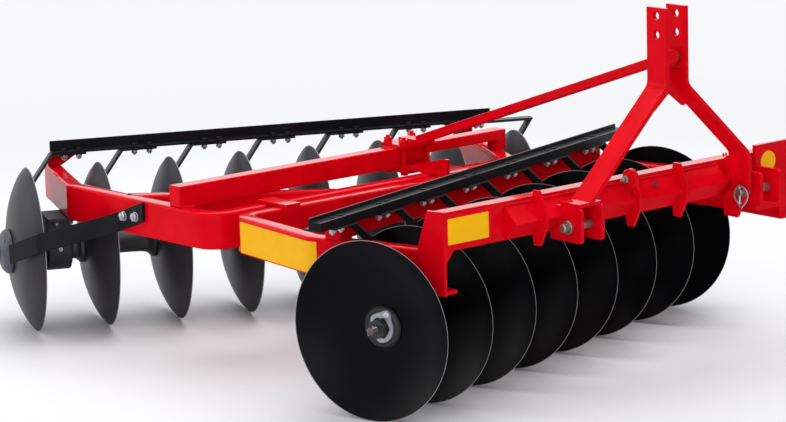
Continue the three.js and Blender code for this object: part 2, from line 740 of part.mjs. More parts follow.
function addHitch(root) {
  const back = hitchBeamFront + hitchBeamDepth;
  const beam = block([hitchBeamRight, hitchBeamFront, hitchBeamBottom], [hitchBeamLeft, back, hitchBeamTop]);
  const welded = [beam, crosswise(angleOutline(0), hitchAngleStart, hitchAngleEnd)];
  const angleRoom = crosswise(angleOutline(1.5 * gap), hitchAngleStart - 1, hitchAngleEnd + 1);
  const face = hitchBeamFront - gap;
  const weld = hitchBeamFront + 2;

  // Ribs that wrap the angle section.
  ribPlaces.forEach((x) => {
    const outline = [
      [weld, hitchBeamBottom],
      [weld, 633],
      [face - 4, 655],
      [face - 30, 655],
      [face - 62, 590],
      [face - 62, 545],
      [face - 30, 482],
      [face - 4, 482],
    ];
    welded.push(crosswise(outline, x - ribThickness / 2, x + ribThickness / 2));
  });

  // Lower clevises and their pins.
  const tip = hitchBeamFront - clevisReach;
  const pinY = hitchBeamFront - pinForward;
  const hole = roundBar([0, pinY, pinHeight], [2000, pinY, pinHeight], pinDiameter + 2 * boreClearance, 20);
  const low = 490;
  const high = low + clevisHeight - 12;
  const plate = (x) => crosswise(
    [[face, low], [face, high], [tip + 8, high], [tip, high - 8], [tip, low + 8], [tip + 8, low]],
    x - clevisPlate / 2,
    x + clevisPlate / 2,
  ).subtract(angleRoom).subtract(hole);
  [["right", -1], ["left", 1]].forEach(([side, way]) => {
    const inner = hitchCentreX + way * clevisInner;
    const outer = hitchCentreX + way * clevisOuter;
    piece(root, `clevis_${side}_inner`, plate(inner), redPaint);
    piece(root, `clevis_${side}_outer`, plate(outer), redPaint);
    const headEnd = outer + way * (clevisPlate / 2 + pinProud);
    const plainEnd = inner - way * (clevisPlate / 2 + 10);
    const shank = roundBar([plainEnd, pinY, pinHeight], [headEnd, pinY, pinHeight], pinDiameter, 20);
    const faceAt = way < 0 ? outer - clevisPlate / 2 - gap : outer + clevisPlate / 2 + gap;
    const collar = roundBar(
      [faceAt, pinY, pinHeight],
      [faceAt + way * 12, pinY, pinHeight],
      pinDiameter + 14,
      20,
    );
    piece(root, `hitch_pin_${side}`, joined(shank, collar), bareSteel);
  });

  // Base plate of the mast's left leg, and the plate across the beam's left end.
  const base = crosswise(
    [[weld, hitchBeamBottom], [weld, 633], [face - 20, 648], [face - 115, 648], [face - 115, 560],
      [face - 60, 450], [face - 4, 450]],
    mastBaseX,
    mastBaseX + plateThickness,
  );
  const endPlateX = hitchCentreX + clevisOuter + clevisPlate / 2 + 8;
  welded.push(base, block([endPlateX, weld - 2 - plateThickness, 443], [hitchBeamLeft, weld, 660]));
  piece(root, "hitch_beam", joined(...welded), redPaint);
}

function mastLine(side) {
  const x = hitchCentreX - 12 + (side * mastPitch) / 2;
  if (side < 0) {
    const foot = hitchCentreX - (clevisInner + clevisOuter) / 2;
    return [[x, mastTop], [x, mastElbowZ], [foot, mastRightFootZ]];
  }
  const down = mastBaseX - gap - mastPlate / 2;
  return [[x, mastTop], [x, mastElbowZ], [down, 668], [down, 575]];
}

function addMast(root) {
  const y0 = mastCentreY - mastWidth / 2;
  const y1 = mastCentreY + mastWidth / 2;
  const centre = hitchCentreX - 12;
  const holes = [mastHeight + pinHeight, mastHeight + pinHeight - mastHolePitch].map((z) =>
    roundBar([centre - 100, mastCentreY, z], [centre + 100, mastCentreY, z], mastHoleDiameter, 20));
  const rooms = [];
  const legs = [];
  [["right", -1], ["left", 1]].forEach(([side, way]) => {
    const line = bentLine(mastLine(way), 40, 3);
    let leg = fromFront(widened(line, mastPlate), y0, y1);
    rooms.push(fromFront(widened(line, mastPlate + 2 * gap), y0, y1));
    holes.forEach((hole) => {
      leg = leg.subtract(hole);
    });
    if (way < 0) {
      const foot = block(
        [hitchCentreX - clevisOuter - 4, y0, 600 + gap],
        [hitchCentreX - clevisInner + 4, y1, 600 + gap + 12],
      );
      leg = leg.add(foot).trimByPlane([0, 0, 1], 600 + gap);
    }
    legs.push(leg);
  });
  const inner = mastPitch / 2 - mastPlate / 2 - gap;
  const spacer = roundBar(
    [centre - inner, mastCentreY, mastSpacerZ],
    [centre + inner, mastCentreY, mastSpacerZ],
    mastSpacerDiameter,
    20,
  );
  piece(root, "mast_spacer", spacer, bareSteel);
  const side = inner + 2;
  const outline = [
    [centre - side, 972],
    [centre - side, 925],
    [centre - 98, 868],
    [centre - 62, 852],
    [centre, 900],
    [centre + 62, 852],
    [centre + 98, 868],
    [centre + side, 925],
    [centre + side, 972],
  ];
  const web = fromFront(outline, mastCentreY - 6, mastCentreY + 6);
  const parts = web.subtract(rooms[1]).decompose().sort((a, b) => b.volume() - a.volume());
  piece(root, "mast_right_leg", legs[0].add(parts[0]), redPaint);
  piece(root, "mast_left_leg", legs[1], redPaint);

  // Stay from the mast back to the clamp on the long bar.
  const seat = frameTop + 2 * gap + barHeight + clampPlateZ + gap + 0.3;
  const eye = roundBar(
    [clampX - stayWidth / 2, mastCentreY, mastSpacerZ],
    [clampX + stayWidth / 2, mastCentreY, mastSpacerZ],
    mastSpacerDiameter + 26,
    24,
  );
  const rearY = barFront + barWidth / 2 + 20;
  const foot = block([clampX - stayWidth / 2, rearY - 110, seat], [clampX + stayWidth / 2, rearY, seat + 14]);
  const footTop = [clampX, rearY - 92, seat + 14];
  const run = flatBar(footTop, [clampX, mastCentreY, mastSpacerZ], stayWidth, stayHeight);
  const bore = roundBar(
    [clampX - 60, mastCentreY, mastSpacerZ],
    [clampX + 60, mastCentreY, mastSpacerZ],
    mastSpacerDiameter + 2 * boreClearance,
    20,
  );
  const stay = joined(eye, foot, run).subtract(bore).trimByPlane([0, 0, 1], seat);
  piece(root, "stay_bar", stay, redPaint);
}

// The bracket at the hitch beam's right end. Its side plate stands along the outside of the front frame's
// right arm, its front plate lies on the beam, and its foot is bolted under the arm.
function addEndBracket(root) {
  const face = hitchBeamFront - gap;
  const bottom = frameBottom - gap - plateThickness;
  const top = hitchBeamTop + 6;
  const low = hitchBeamBottom + 4;
  const outer = hitchBeamRight - 10;
  const end = hitchBeamRight + bracketReach;
  const frontOutline = [
    [outer, low - bracketGusset],
    [outer + 14, low - bracketGusset * 0.8],
    [outer + bracketGusset, low],
    [end, low],
    [end, hitchBeamTop - 4],
    [outer, hitchBeamTop - 4],
  ];
  const front = fromFront(frontOutline, face - plateThickness, face);
  const armSide = frontCrossing - tubeWidth / 2 - bracketStandoff;
  const nose = crossingAt(frontGang, armSide - plateThickness / 2, 1, face - plateThickness)[1];
  const noseN = (nose - (armSide - plateThickness / 2) * sine(frontGangAngle)) / sine(90 - frontGangAngle);
  const sideOutline = [
    [noseN, bottom],
    [noseN + bracketToe, bottom],
    [noseN + bracketWaist, frameTop - 16],
    [noseN + bracketWaist, frameTop + 12],
    [noseN + bracketHead, top],
    [noseN, top],
  ];
  const side = crosswise(sideOutline, armSide - plateThickness, armSide)
    .rotate([0, 0, frontGangAngle])
    .trimByPlane([0, 1, 0], face - plateThickness);
  const foot = block([outer + 4, face - 4, bottom], [hitchBeamRight + 48, -52, bottom + plateThickness]);
  piece(root, "hitch_right_bracket", joined(front, side, foot), redPaint);
}

// ---- Build --------------------------------------------------------------------------------------------

const machine = new THREE.Group();
const whole = new THREE.Group();
machine.add(whole);

addGang(whole, frontGang, "front", 1, frontBearingOffset);
addGang(whole, rearGang, "rear", -1, rearBearingOffset);
addBearings(whole, frontGang, "front", frontBearingOffset, frontCrossing);
addBearings(whole, rearGang, "rear", rearBearingOffset, rearCrossing);
addFrontFrame(whole);
addRearFrame(whole);
addTopBar(whole);
addFrameLinks(whole);
addFrontScrapers(whole);
addRearScrapers(whole);
addGuardArm(whole);
addHitch(whole);
addMast(whole);
addEndBracket(whole);

// The origin is under the middle of the machine's bounding box, on the ground.
machine.updateMatrixWorld(true);
const bounds = new THREE.Box3().setFromObject(machine, true);
const centre = bounds.getCenter(new THREE.Vector3());
whole.position.set(-centre.x, -centre.y, -bounds.min.z);

export default machine;
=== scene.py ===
# %% [markdown]
# # An offset disc harrow, dressed around its imported model
# The imported model gives every part its true size and place. This lesson adds what a camera sees on the
# real machine: rounded tube corners, spun discs, cast spools, weld beads, bolts and enamel. The first cell
# loads the frame. The looks may not grow past it.

# %% Load the frame
import json
import math

import bmesh
import bpy
import numpy as np
from mathutils import Matrix, Vector


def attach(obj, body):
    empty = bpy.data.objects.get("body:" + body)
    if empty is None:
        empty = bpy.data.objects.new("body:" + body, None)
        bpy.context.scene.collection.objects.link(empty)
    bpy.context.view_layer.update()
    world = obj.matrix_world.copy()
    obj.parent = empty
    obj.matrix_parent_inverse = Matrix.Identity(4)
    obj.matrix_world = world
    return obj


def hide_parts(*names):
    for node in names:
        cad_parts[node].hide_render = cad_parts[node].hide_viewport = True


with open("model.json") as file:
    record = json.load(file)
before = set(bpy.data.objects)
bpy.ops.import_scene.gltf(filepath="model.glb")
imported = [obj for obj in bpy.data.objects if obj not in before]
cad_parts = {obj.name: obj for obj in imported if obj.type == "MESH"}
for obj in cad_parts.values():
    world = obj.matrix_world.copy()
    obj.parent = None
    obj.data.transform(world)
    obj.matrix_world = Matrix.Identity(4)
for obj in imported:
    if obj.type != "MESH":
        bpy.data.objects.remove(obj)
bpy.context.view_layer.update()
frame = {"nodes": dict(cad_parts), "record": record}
joints = {joint["name"]: joint for joint in frame["record"]["behaviour"]["joints"]}

# %% [markdown]
# ## Where things are
# The machine's own numbers are easiest to read from one corner: the rim centre of the front gang's right
# disc, on the ground. That point comes from the front gang's hinge. Each gang also gets a frame of its own,
# with one axis along its axle, one pointing backwards across it and one straight up.

# %% The machine's corner and the two gang frames
front_hinge = np.array(joints["front_gang_spin"]["pos_m"], dtype=float)
corner = np.array([front_hinge[0], front_hinge[1], 0.0])
UP = np.array([0.0, 0.0, 1.0])


def in_frame(points):
    """Millimetres from the machine's corner, turned to metres in the frame: corner + points / 1000."""
    return corner + np.asarray(points, dtype=float) / 1000.0


class Gang:
    """A gang's own frame in millimetres: t along its axle, n backwards across it, h above the ground."""

    def __init__(self, label, bulge):
        """bulge is 1 where the discs bulge along the axle, -1 where they bulge against it."""
        joint = joints[label + "_gang_spin"]
        self.label = label
        self.body = label + "_gang"
        self.bulge = bulge
        self.middle = (np.array(joint["pos_m"], dtype=float) - corner) * 1000.0
        self.along = np.array(joint["axis"], dtype=float)
        self.along /= np.linalg.norm(self.along)
        self.back = np.cross(UP, self.along)

    def at(self, t, n, h):
        """A place on the machine in millimetres from its corner: middle + t·along + n·back, at height h."""
        return self.middle * np.array([1.0, 1.0, 0.0]) + t * self.along + n * self.back + h * UP


front = Gang("front", 1)
rear = Gang("rear", -1)
DISCS = 8
SPACING = 248.5
AXLE_HEIGHT = 280.0
print("front gang at", front.middle.round(1), "rear gang at", rear.middle.round(1))

# %% [markdown]
# ## Camera
# A long lens from the machine's right front, a little above it, shows both gangs in one picture. The camera
# could be aimed by a Track To constraint, but that can't tip it sideways. Three angles turn it instead: the
# compass angle, the height angle and a small roll. It has no depth of field, so all sixteen discs stay sharp.

# %% Set up the camera
CAMERA_PLACE = in_frame([-6378.7, -7727.4, 2670.9])
CAMERA_TURN, CAMERA_LIFT, CAMERA_ROLL = -39.985, 11.410, -1.553
SENSOR_WIDTH, FOCAL_LENGTH = 36.0, 156.54687
turn, lift, roll = np.radians([CAMERA_TURN, CAMERA_LIFT, CAMERA_ROLL])
backward = np.array([math.sin(turn) * math.cos(lift), -math.cos(turn) * math.cos(lift), math.sin(lift)])
level_right = np.array([math.cos(turn), math.sin(turn), 0.0])
level_up = np.cross(level_right, -backward)
right = level_right * math.cos(roll) + level_up * math.sin(roll)
upward = -level_right * math.sin(roll) + level_up * math.cos(roll)
lens = bpy.data.cameras.new("camera")
lens.sensor_width = SENSOR_WIDTH
lens.lens = FOCAL_LENGTH
lens.clip_end = 200.0
camera = bpy.data.objects.new("camera", lens)
bpy.context.collection.objects.link(camera)
pose = np.eye(4)
pose[:3, 0], pose[:3, 1], pose[:3, 2], pose[:3, 3] = right, upward, backward, CAMERA_PLACE
camera.matrix_world = Matrix(pose.tolist())
bpy.context.scene.camera = camera
print("lens mm:", round(lens.lens, 2))

# %% [markdown]
# ## Light, floor and background
# Enamel shows what it reflects, so the light is a few large soft panels: one high over the machine for the
# bright tops of the tubes, one from the front and a weak one from the right rear. A studio picture could
# light the scene too, but panels can be moved one at a time. The world gives an even base, and to the camera
# and to mirror-like surfaces it looks nearly white. A few metres away the floor fades to the same white, so
# that no horizon shows.

# %% Lamps
bpy.context.scene.view_settings.view_transform = "Standard"


def soft_panel(name, place, target, size, watts):
    """A square area lamp at place, facing target."""
    lamp = bpy.data.lights.new(name, "AREA")
    lamp.shape = "SQUARE"
    lamp.size = size
    lamp.energy = watts
    panel = bpy.data.objects.new(name, lamp)
    bpy.context.collection.objects.link(panel)
    facing = Vector(target) - Vector(place)
    panel.matrix_world = Matrix.Translation(place) @ facing.to_track_quat("-Z", "Y").to_matrix().to_4x4()


soft_panel("panel_top", (0.8, 0.6, 6.0), (0.0, 0.0, 0.3), 7.0, 360.0)
soft_panel("panel_front", (-8.6, -7.0, 3.4), (0.0, 0.4, 0.5), 7.0, 400.0)
soft_panel("panel_right_rear", (-5.0, 6.5, 2.6), (0.0, 0.4, 0.3), 4.5, 110.0)
print("three soft panels")

# %% Helpers for the background
NEAR_WHITE = (0.93, 0.935, 0.945, 1.0)


def math_node(tree, operation, a, b=None, clamp=False):
    """One Math node; a and b are sockets or numbers. Returns its output."""
    node = tree.nodes.new("ShaderNodeMath")
    node.operation = operation
    node.use_clamp = clamp
    for index, value in enumerate((a, b)):
        if value is None:
            continue
        if isinstance(value, (int, float)):
            node.inputs[index].default_value = value
        else:
            tree.links.new(value, node.inputs[index])
    return node.outputs[0]


def showing_rays(tree):
    """1 for rays from the camera, from mirrors and through glass, else 0: the largest of those three marks."""
    ray = tree.nodes.new("ShaderNodeLightPath")
    seen = math_node(tree, "MAXIMUM", ray.outputs["Is Camera Ray"], ray.outputs["Is Glossy Ray"])
    return math_node(tree, "MAXIMUM", seen, ray.outputs["Is Transmission Ray"])


def mixed(tree, factor, first, second, surface):
    """Joins a Mix Shader to the surface socket: first where factor is 0, second where it is 1."""
    mix = tree.nodes.new("ShaderNodeMixShader")
    for value, socket in ((factor, mix.inputs["Fac"]), (first, mix.inputs[1]), (second, mix.inputs[2])):
        tree.links.new(value, socket)
    tree.links.new(mix.outputs[0], surface)


print("background helpers ready")

# %% World and floor
WORLD_LEVEL = 0.55
world = bpy.data.worlds.new("studio")
bpy.context.scene.world = world
world.use_nodes = True
studio = world.node_tree
studio.nodes.clear()
even = studio.nodes.new("ShaderNodeBackground")
even.inputs["Color"].default_value = (0.94, 0.96, 1.0, 1.0)
even.inputs["Strength"].default_value = WORLD_LEVEL
white = studio.nodes.new("ShaderNodeBackground")
white.inputs["Color"].default_value = NEAR_WHITE
sky = studio.nodes.new("ShaderNodeOutputWorld").inputs["Surface"]
mixed(studio, showing_rays(studio), even.outputs[0], white.outputs[0], sky)

REACH = 40.0
floor_mesh = bpy.data.meshes.new("floor")
floor_mesh.from_pydata(
    [(-REACH, -REACH, 0.0), (REACH, -REACH, 0.0), (REACH, REACH, 0.0), (-REACH, REACH, 0.0)],
    [],
    [(0, 1, 2, 3)],
)
floor = bpy.data.objects.new("floor", floor_mesh)
bpy.context.collection.objects.link(floor)
print("floor and world ready")

# %% [markdown]
# ## Effects shared by several finishes
# Three small surface effects come back in more than one material, so each is a node group: the fine orange
# peel of sprayed enamel with its faint mottling, the grey dust that settles on faces that look up, and the
# fine rings that spinning leaves in pressed steel. Each could be painted on every piece by hand, but a group
# is tuned once and then follows any shape. Each puts out only heights and masks.

# %% Helpers for node groups
def new_group(name, inputs, outputs):
    """A shader node group with float inputs (name: default) and float outputs; returns it with both ends."""
    group = bpy.data.node_groups.new(name, "ShaderNodeTree")
    for label, value in inputs.items():
        socket = group.interface.new_socket(label, in_out="INPUT", socket_type="NodeSocketFloat")
        socket.default_value = value
    for label in outputs:
        group.interface.new_socket(label, in_out="OUTPUT", socket_type="NodeSocketFloat")
    return group, group.nodes.new("NodeGroupInput"), group.nodes.new("NodeGroupOutput")


def contrast(tree, value, start, gain):
    """A value less start, times gain, held between 0 and 1."""
    return math_node(tree, "MULTIPLY", math_node(tree, "SUBTRACT", value, start), gain, True)


def noise_node(tree, scale, detail=3.0, roughness=0.5):
    """A Noise Texture on Object coordinates. Returns its value output."""
    node = tree.nodes.new("ShaderNodeTexNoise")
    node.inputs["Detail"].default_value = detail
    node.inputs["Roughness"].default_value = roughness
    tree.links.new(tree.nodes.new("ShaderNodeTexCoord").outputs["Object"], node.inputs["Vector"])
    if isinstance(scale, (int, float)):
        node.inputs["Scale"].default_value = scale
    else:
        tree.links.new(scale, node.inputs["Scale"])
    return node.outputs[0]


# %% Orange peel and mottling
peel_group, start, end = new_group("sprayed enamel skin", {"Grain": 420.0, "Patch": 9.0}, ["Height", "Mottle"])
fine = noise_node(peel_group, start.outputs["Grain"], 2.0, 0.4)
patch = noise_node(peel_group, start.outputs["Patch"], 4.0, 0.6)
peel_group.links.new(fine, end.inputs["Height"])
peel_group.links.new(contrast(peel_group, patch, 0.3, 2.4), end.inputs["Mottle"])
print("group:", peel_group.name)

# %% Settled dust
dust_group, start, end = new_group("settled dust", {"Amount": 0.5, "Size": 26.0}, ["Mask"])
facing = dust_group.nodes.new("ShaderNodeNewGeometry")
split = dust_group.nodes.new("ShaderNodeSeparateXYZ")
dust_group.links.new(facing.outputs["Normal"], split.inputs[0])
level = contrast(dust_group, split.outputs["Z"], 0.35, 1.5)
cloud = contrast(dust_group, noise_node(dust_group, start.outputs["Size"], 6.0, 0.65), 0.38, 2.6)
dust = math_node(dust_group, "MULTIPLY", level, cloud)
dust = math_node(dust_group, "MULTIPLY", dust, start.outputs["Amount"], True)
dust_group.links.new(dust, end.inputs["Mask"])
print("group:", dust_group.name)

# %% Spun rings
ring_group, start, end = new_group("spun rings", {"Rings per metre": 160.0}, ["Rings", "Smudge"])
radius = ring_group.nodes.new("ShaderNodeAttribute")
radius.attribute_name = "ring_radius"
stretched = math_node(ring_group, "MULTIPLY", radius.outputs["Fac"], start.outputs["Rings per metre"])
line_noise = ring_group.nodes.new("ShaderNodeTexNoise")
line_noise.noise_dimensions = "1D"
line_noise.inputs["Scale"].default_value = 1.0
line_noise.inputs["Detail"].default_value = 3.0
ring_group.links.new(stretched, line_noise.inputs["W"])
ring_group.links.new(line_noise.outputs[0], end.inputs["Rings"])
ring_group.links.new(noise_node(ring_group, 7.0, 5.0, 0.6), end.inputs["Smudge"])
print("group:", ring_group.name)

# %% [markdown]
# ## Finishes
# The frame, hitch and mast wear glossy red enamel; the scraper rails and the guard arm wear satin black.
# Faces that look down are made duller, so that they don't mirror the pale floor. The discs are pressed steel
# with fine rings and a bare ground edge. The front ones are painted nearly black as painted shade, and the rear
# ones greyer as painted light and a little more dust, though both are the same steel. Spools, bells
# and bearings are castings with a coarse skin. Bolts are zinc plated, pins are bare turned steel, and the
# panels are plain yellow vinyl. A flat colour would do from afar, but two close shades and a fine height
# keep every finish from looking like plastic.

# %% Helpers for a finish
def linear(red, green, blue):
    """An 8-bit sRGB colour as linear light with alpha 1: ((c + 0.055) / 1.055) ^ 2.4 above the short toe."""
    c = np.array([red, green, blue]) / 255.0
    lit = np.where(c <= 0.04045, c / 12.92, ((c + 0.055) / 1.055) ** 2.4)
    return (*map(float, lit), 1.0)


# a Mix node has a row of sockets for each kind of data; these are the ones for colour
COLOUR_A, COLOUR_B, COLOUR_OUT = 6, 7, 2


class Finish:
    """A new material with its Principled shader ready, and short ways to lay colour, gloss and height on it."""

    def __init__(self, name, metallic=0.0, specular=0.5):
        """Constants go on the shader's own sockets; what varies over the surface is linked later."""
        self.material = bpy.data.materials.new(name)
        self.material.use_nodes = True
        self.tree = self.material.node_tree
        self.shader = self.tree.nodes["Principled BSDF"]
        self.shader.inputs["Metallic"].default_value = metallic
        self.shader.inputs["Specular IOR Level"].default_value = specular
        self.shader.inputs["Coat Roughness"].default_value = 0.08

    def group(self, tree, **values):
        """Places a shared effect with its own values; names use _ for spaces. Returns the group node."""
        node = self.tree.nodes.new("ShaderNodeGroup")
        node.node_tree = tree
        for label, value in values.items():
            node.inputs[label.replace("_", " ")].default_value = value
        return node

    def between(self, factor, first, second):
        """A colour that goes from first to second as factor goes from 0 to 1."""
        node = self.tree.nodes.new("ShaderNodeMix")
        node.data_type = "RGBA"
        self.tree.links.new(factor, node.inputs["Factor"])
        for index, colour in ((COLOUR_A, first), (COLOUR_B, second)):
            if isinstance(colour, tuple):
                node.inputs[index].default_value = colour
            else:
                self.tree.links.new(colour, node.inputs[index])
        return node.outputs[COLOUR_OUT]

    def span(self, factor, low, high, start=0.0, stop=1.0):
        """A number that goes from low to high as factor goes from start to stop."""
        node = self.tree.nodes.new("ShaderNodeMapRange")
        node.inputs["From Min"].default_value = start
        node.inputs["From Max"].default_value = stop
        node.inputs["To Min"].default_value = low
        node.inputs["To Max"].default_value = high
        self.tree.links.new(factor, node.inputs["Value"])
        return node.outputs["Result"]

    def bump(self, height, strength, distance):
        """Height lifts the surface by up to distance, in metres, at the given strength."""
        node = self.tree.nodes.new("ShaderNodeBump")
        node.inputs["Strength"].default_value = strength
        node.inputs["Distance"].default_value = distance
        self.tree.links.new(height, node.inputs["Height"])
        self.tree.links.new(node.outputs[0], self.shader.inputs["Normal"])

    def wear(self, colour, roughness):
        """Joins the finished colour and roughness to the shader and returns the material."""
        self.tree.links.new(colour, self.shader.inputs["Base Color"])
        self.tree.links.new(roughness, self.shader.inputs["Roughness"])
        return self.material


PEEL_HEIGHT, PEEL_DEPTH = 0.08, 0.0005
UNDERSIDE_DULL, DUST_DULL = 0.8, 0.3
GLANCE_STARTS, GLANCE_FULL = 0.45, 0.80
SIDE_SHINE = 0.15


def enamel(name, deep, bright, dusty, rough, specular, coat, dust):
    """Sprayed enamel: two close shades in soft patches, fine orange peel and a little dust. Its gloss fades on
    faces that look down, and its clear coat shows at a glancing look, most of all on faces that look up."""
    finish = Finish(name, specular=specular)
    skin = finish.group(peel_group)
    settled = finish.group(dust_group, Amount=dust).outputs["Mask"]
    colour = finish.between(skin.outputs["Mottle"], deep, bright)
    colour = finish.between(settled, colour, dusty)
    place = finish.tree.nodes.new("ShaderNodeTexCoord")
    split = finish.tree.nodes.new("ShaderNodeSeparateXYZ")
    finish.tree.links.new(place.outputs["Normal"], split.inputs[0])
    upright = split.outputs["Z"]
    gloss = finish.span(skin.outputs["Mottle"], rough, rough + 0.05)
    gloss = math_node(finish.tree, "ADD", gloss, math_node(finish.tree, "MULTIPLY", settled, DUST_DULL))
    dulled = math_node(finish.tree, "MULTIPLY", upright, -UNDERSIDE_DULL, clamp=True)
    gloss = math_node(finish.tree, "ADD", gloss, dulled)
    finish.bump(skin.outputs["Height"], PEEL_HEIGHT, PEEL_DEPTH)
    glance = finish.tree.nodes.new("ShaderNodeLayerWeight")
    glance.inputs["Blend"].default_value = 0.5
    shine = finish.span(glance.outputs["Facing"], 0.0, coat, GLANCE_STARTS, GLANCE_FULL)
    rubbed = math_node(finish.tree, "MULTIPLY_ADD", upright, 1.0 - SIDE_SHINE, clamp=True)
    rubbed.node.inputs[2].default_value = SIDE_SHINE
    coated = math_node(finish.tree, "MULTIPLY", shine, rubbed)
    finish.tree.links.new(coated, finish.shader.inputs["Coat Weight"])
    return finish.wear(colour, gloss)


def casting(name, deep, bright, metallic, specular, pits, patches, strength, depth, low, high):
    """A sand-cast skin: fine pits for height and gloss, and two shades in larger patches."""
    finish = Finish(name, metallic=metallic, specular=specular)
    grain = noise_node(finish.tree, pits, 4.0, 0.65)
    blotch = noise_node(finish.tree, patches, 4.0, 0.6)
    finish.bump(grain, strength, depth)
    return finish.wear(finish.between(blotch, deep, bright), finish.span(grain, low, high))


print("finish helpers ready")

# %% Enamels, black coats and castings
red_enamel = enamel(
    "red enamel", linear(205, 1, 18), linear(228, 3, 26), linear(226, 92, 96),
    rough=0.16, specular=0.04, coat=1.0, dust=0.05,
)
black_enamel = enamel(
    "satin black enamel", linear(13, 13, 16), linear(24, 24, 28), linear(80, 80, 84),
    rough=0.32, specular=0.12, coat=0.25, dust=0.16,
)
cast_black = casting(
    "black casting", linear(22, 22, 25), linear(40, 40, 44), metallic=0.0, specular=0.4,
    pits=330.0, patches=18.0, strength=0.35, depth=0.0012, low=0.42, high=0.62,
)
cast_grey = casting(
    "grey casting", linear(52, 54, 60), linear(88, 90, 99), metallic=0.25, specular=0.5,
    pits=260.0, patches=22.0, strength=0.45, depth=0.0014, low=0.36, high=0.6,
)
print("finishes:", red_enamel.name, black_enamel.name, cast_black.name, cast_grey.name)

# %% Disc steel with rings and a ground edge
EDGE_STARTS, EDGE_FULL = 0.2775, 0.2785
DRY_SOIL, GROUND_STEEL = linear(92, 88, 84), linear(150, 150, 152)


def disc_finish(name, deep, bright, line, dust, specular):
    """Disc steel: smudges between two shades, faint turned rings, dust, and a bright ground edge."""
    finish = Finish(name, specular=specular)
    rings = finish.group(ring_group, Rings_per_metre=420.0)
    settled = finish.group(dust_group, Amount=dust, Size=14.0).outputs["Mask"]
    rim = finish.tree.nodes.new("ShaderNodeAttribute")
    rim.attribute_name = "ring_radius"
    ground = finish.span(rim.outputs["Fac"], 0.0, 1.0, EDGE_STARTS, EDGE_FULL)
    shade = finish.between(rings.outputs["Smudge"], deep, bright)
    shade = finish.between(finish.span(rings.outputs["Rings"], 0.0, 0.16), shade, line)
    shade = finish.between(settled, shade, DRY_SOIL)
    shade = finish.between(ground, shade, GROUND_STEEL)
    finish.bump(rings.outputs["Rings"], 0.14, 0.0006)
    return finish.wear(shade, finish.span(rings.outputs["Smudge"], 0.30, 0.46))


# One steel in two copies: the front discs' shades are painted darker, which is painted shade, and the rear
# discs' shades lighter, which is painted light, besides a little more dust on them.
disc_steels = {
    "front": disc_finish(
        "shaded black disc steel", linear(2, 2, 4), linear(9, 9, 12), linear(26, 27, 31), dust=0.07, specular=0.06
    ),
    "rear": disc_finish(
        "lit and dusty disc steel", linear(33, 31, 34), linear(54, 51, 55), linear(70, 67, 70), dust=0.22, specular=0.12
    ),
}
print("disc steels:", list(disc_steels))

# %% Zinc, bare steel, the lock plate and the yellow vinyl
def metal(name, deep, bright, metallic, low, high, scale, lift):
    """Plated or bare steel: two shades in small spangles, gloss that follows them, and a fine rolled height."""
    finish = Finish(name, metallic=metallic, specular=0.5)
    spangle = noise_node(finish.tree, scale, 5.0, 0.7)
    finish.bump(noise_node(finish.tree, scale * 9.0, 2.0, 0.5), lift, 0.0006)
    return finish.wear(finish.between(spangle, deep, bright), finish.span(spangle, low, high))


zinc = metal(
    "zinc plate", linear(150, 152, 158), linear(206, 208, 212),
    metallic=0.85, low=0.24, high=0.44, scale=90.0, lift=0.10,
)
pin_steel = metal(
    "bare pin steel", linear(122, 108, 102), linear(172, 156, 150),
    metallic=0.8, low=0.3, high=0.5, scale=60.0, lift=0.16,
)
lock_steel = metal(
    "lock plate steel", linear(134, 139, 144), linear(174, 178, 182),
    metallic=0.3, low=0.34, high=0.5, scale=80.0, lift=0.12,
)
worn_steel = metal(
    "worn thread steel", linear(70, 64, 62), linear(112, 104, 100),
    metallic=0.6, low=0.34, high=0.5, scale=80.0, lift=0.2,
)
nut_steel = metal(
    "dark nut steel", linear(30, 31, 32), linear(66, 68, 69),
    metallic=0.5, low=0.32, high=0.55, scale=110.0, lift=0.2,
)
vinyl_finish = Finish("yellow vinyl", specular=0.12)
soft = noise_node(vinyl_finish.tree, 30.0, 4.0, 0.6)
vinyl_finish.bump(noise_node(vinyl_finish.tree, 900.0, 2.0, 0.5), 0.06, 0.0004)
vinyl = vinyl_finish.wear(
    vinyl_finish.between(soft, linear(238, 172, 6), linear(247, 184, 10)), vinyl_finish.span(soft, 0.42, 0.55)
)
print("metals and vinyl ready")

# %% Floor paint that fades into the background
FADE_STARTS, FADE_FULL = 1.6, 5.5
floor_paint = Finish("pale floor", specular=0.15)
cloud = noise_node(floor_paint.tree, 0.8, 3.0, 0.5)
floor_paint.wear(
    floor_paint.between(cloud, linear(228, 229, 231), linear(233, 234, 236)), floor_paint.span(cloud, 0.8, 0.9)
)
far = floor_paint.tree.nodes.new("ShaderNodeVectorMath")
far.operation = "LENGTH"
place = floor_paint.tree.nodes.new("ShaderNodeTexCoord")
floor_paint.tree.links.new(place.outputs["Object"], far.inputs[0])
fade = floor_paint.span(far.outputs["Value"], 0.0, 1.0, FADE_STARTS, FADE_FULL)
fade.node.interpolation_type = "SMOOTHSTEP"
glow = floor_paint.tree.nodes.new("ShaderNodeEmission")
glow.inputs["Color"].default_value = NEAR_WHITE
faded = math_node(floor_paint.tree, "MULTIPLY", showing_rays(floor_paint.tree), fade)
surface = floor_paint.tree.nodes["Material Output"].inputs["Surface"]
mixed(floor_paint.tree, faded, floor_paint.shader.outputs[0], glow.outputs[0], surface)
floor_mesh.materials.append(floor_paint.material)
print("floor fades from", FADE_STARTS, "to", FADE_FULL, "m")

# %% [markdown]
# ## Surfaces from formulas
# Every new piece is a sheet of points laid on two parameters and joined by quads. Three kinds are enough
# here: a profile turned about an axis, a section carried along a path, and an outline stepped through a few
# levels to make a plate with softened edges. Curves with a bevel could carry a section too, but arrays keep
# every size in one formula. Open ends are closed with a flat face, doubles are merged, and faces are turned
# outwards before the mesh is used.

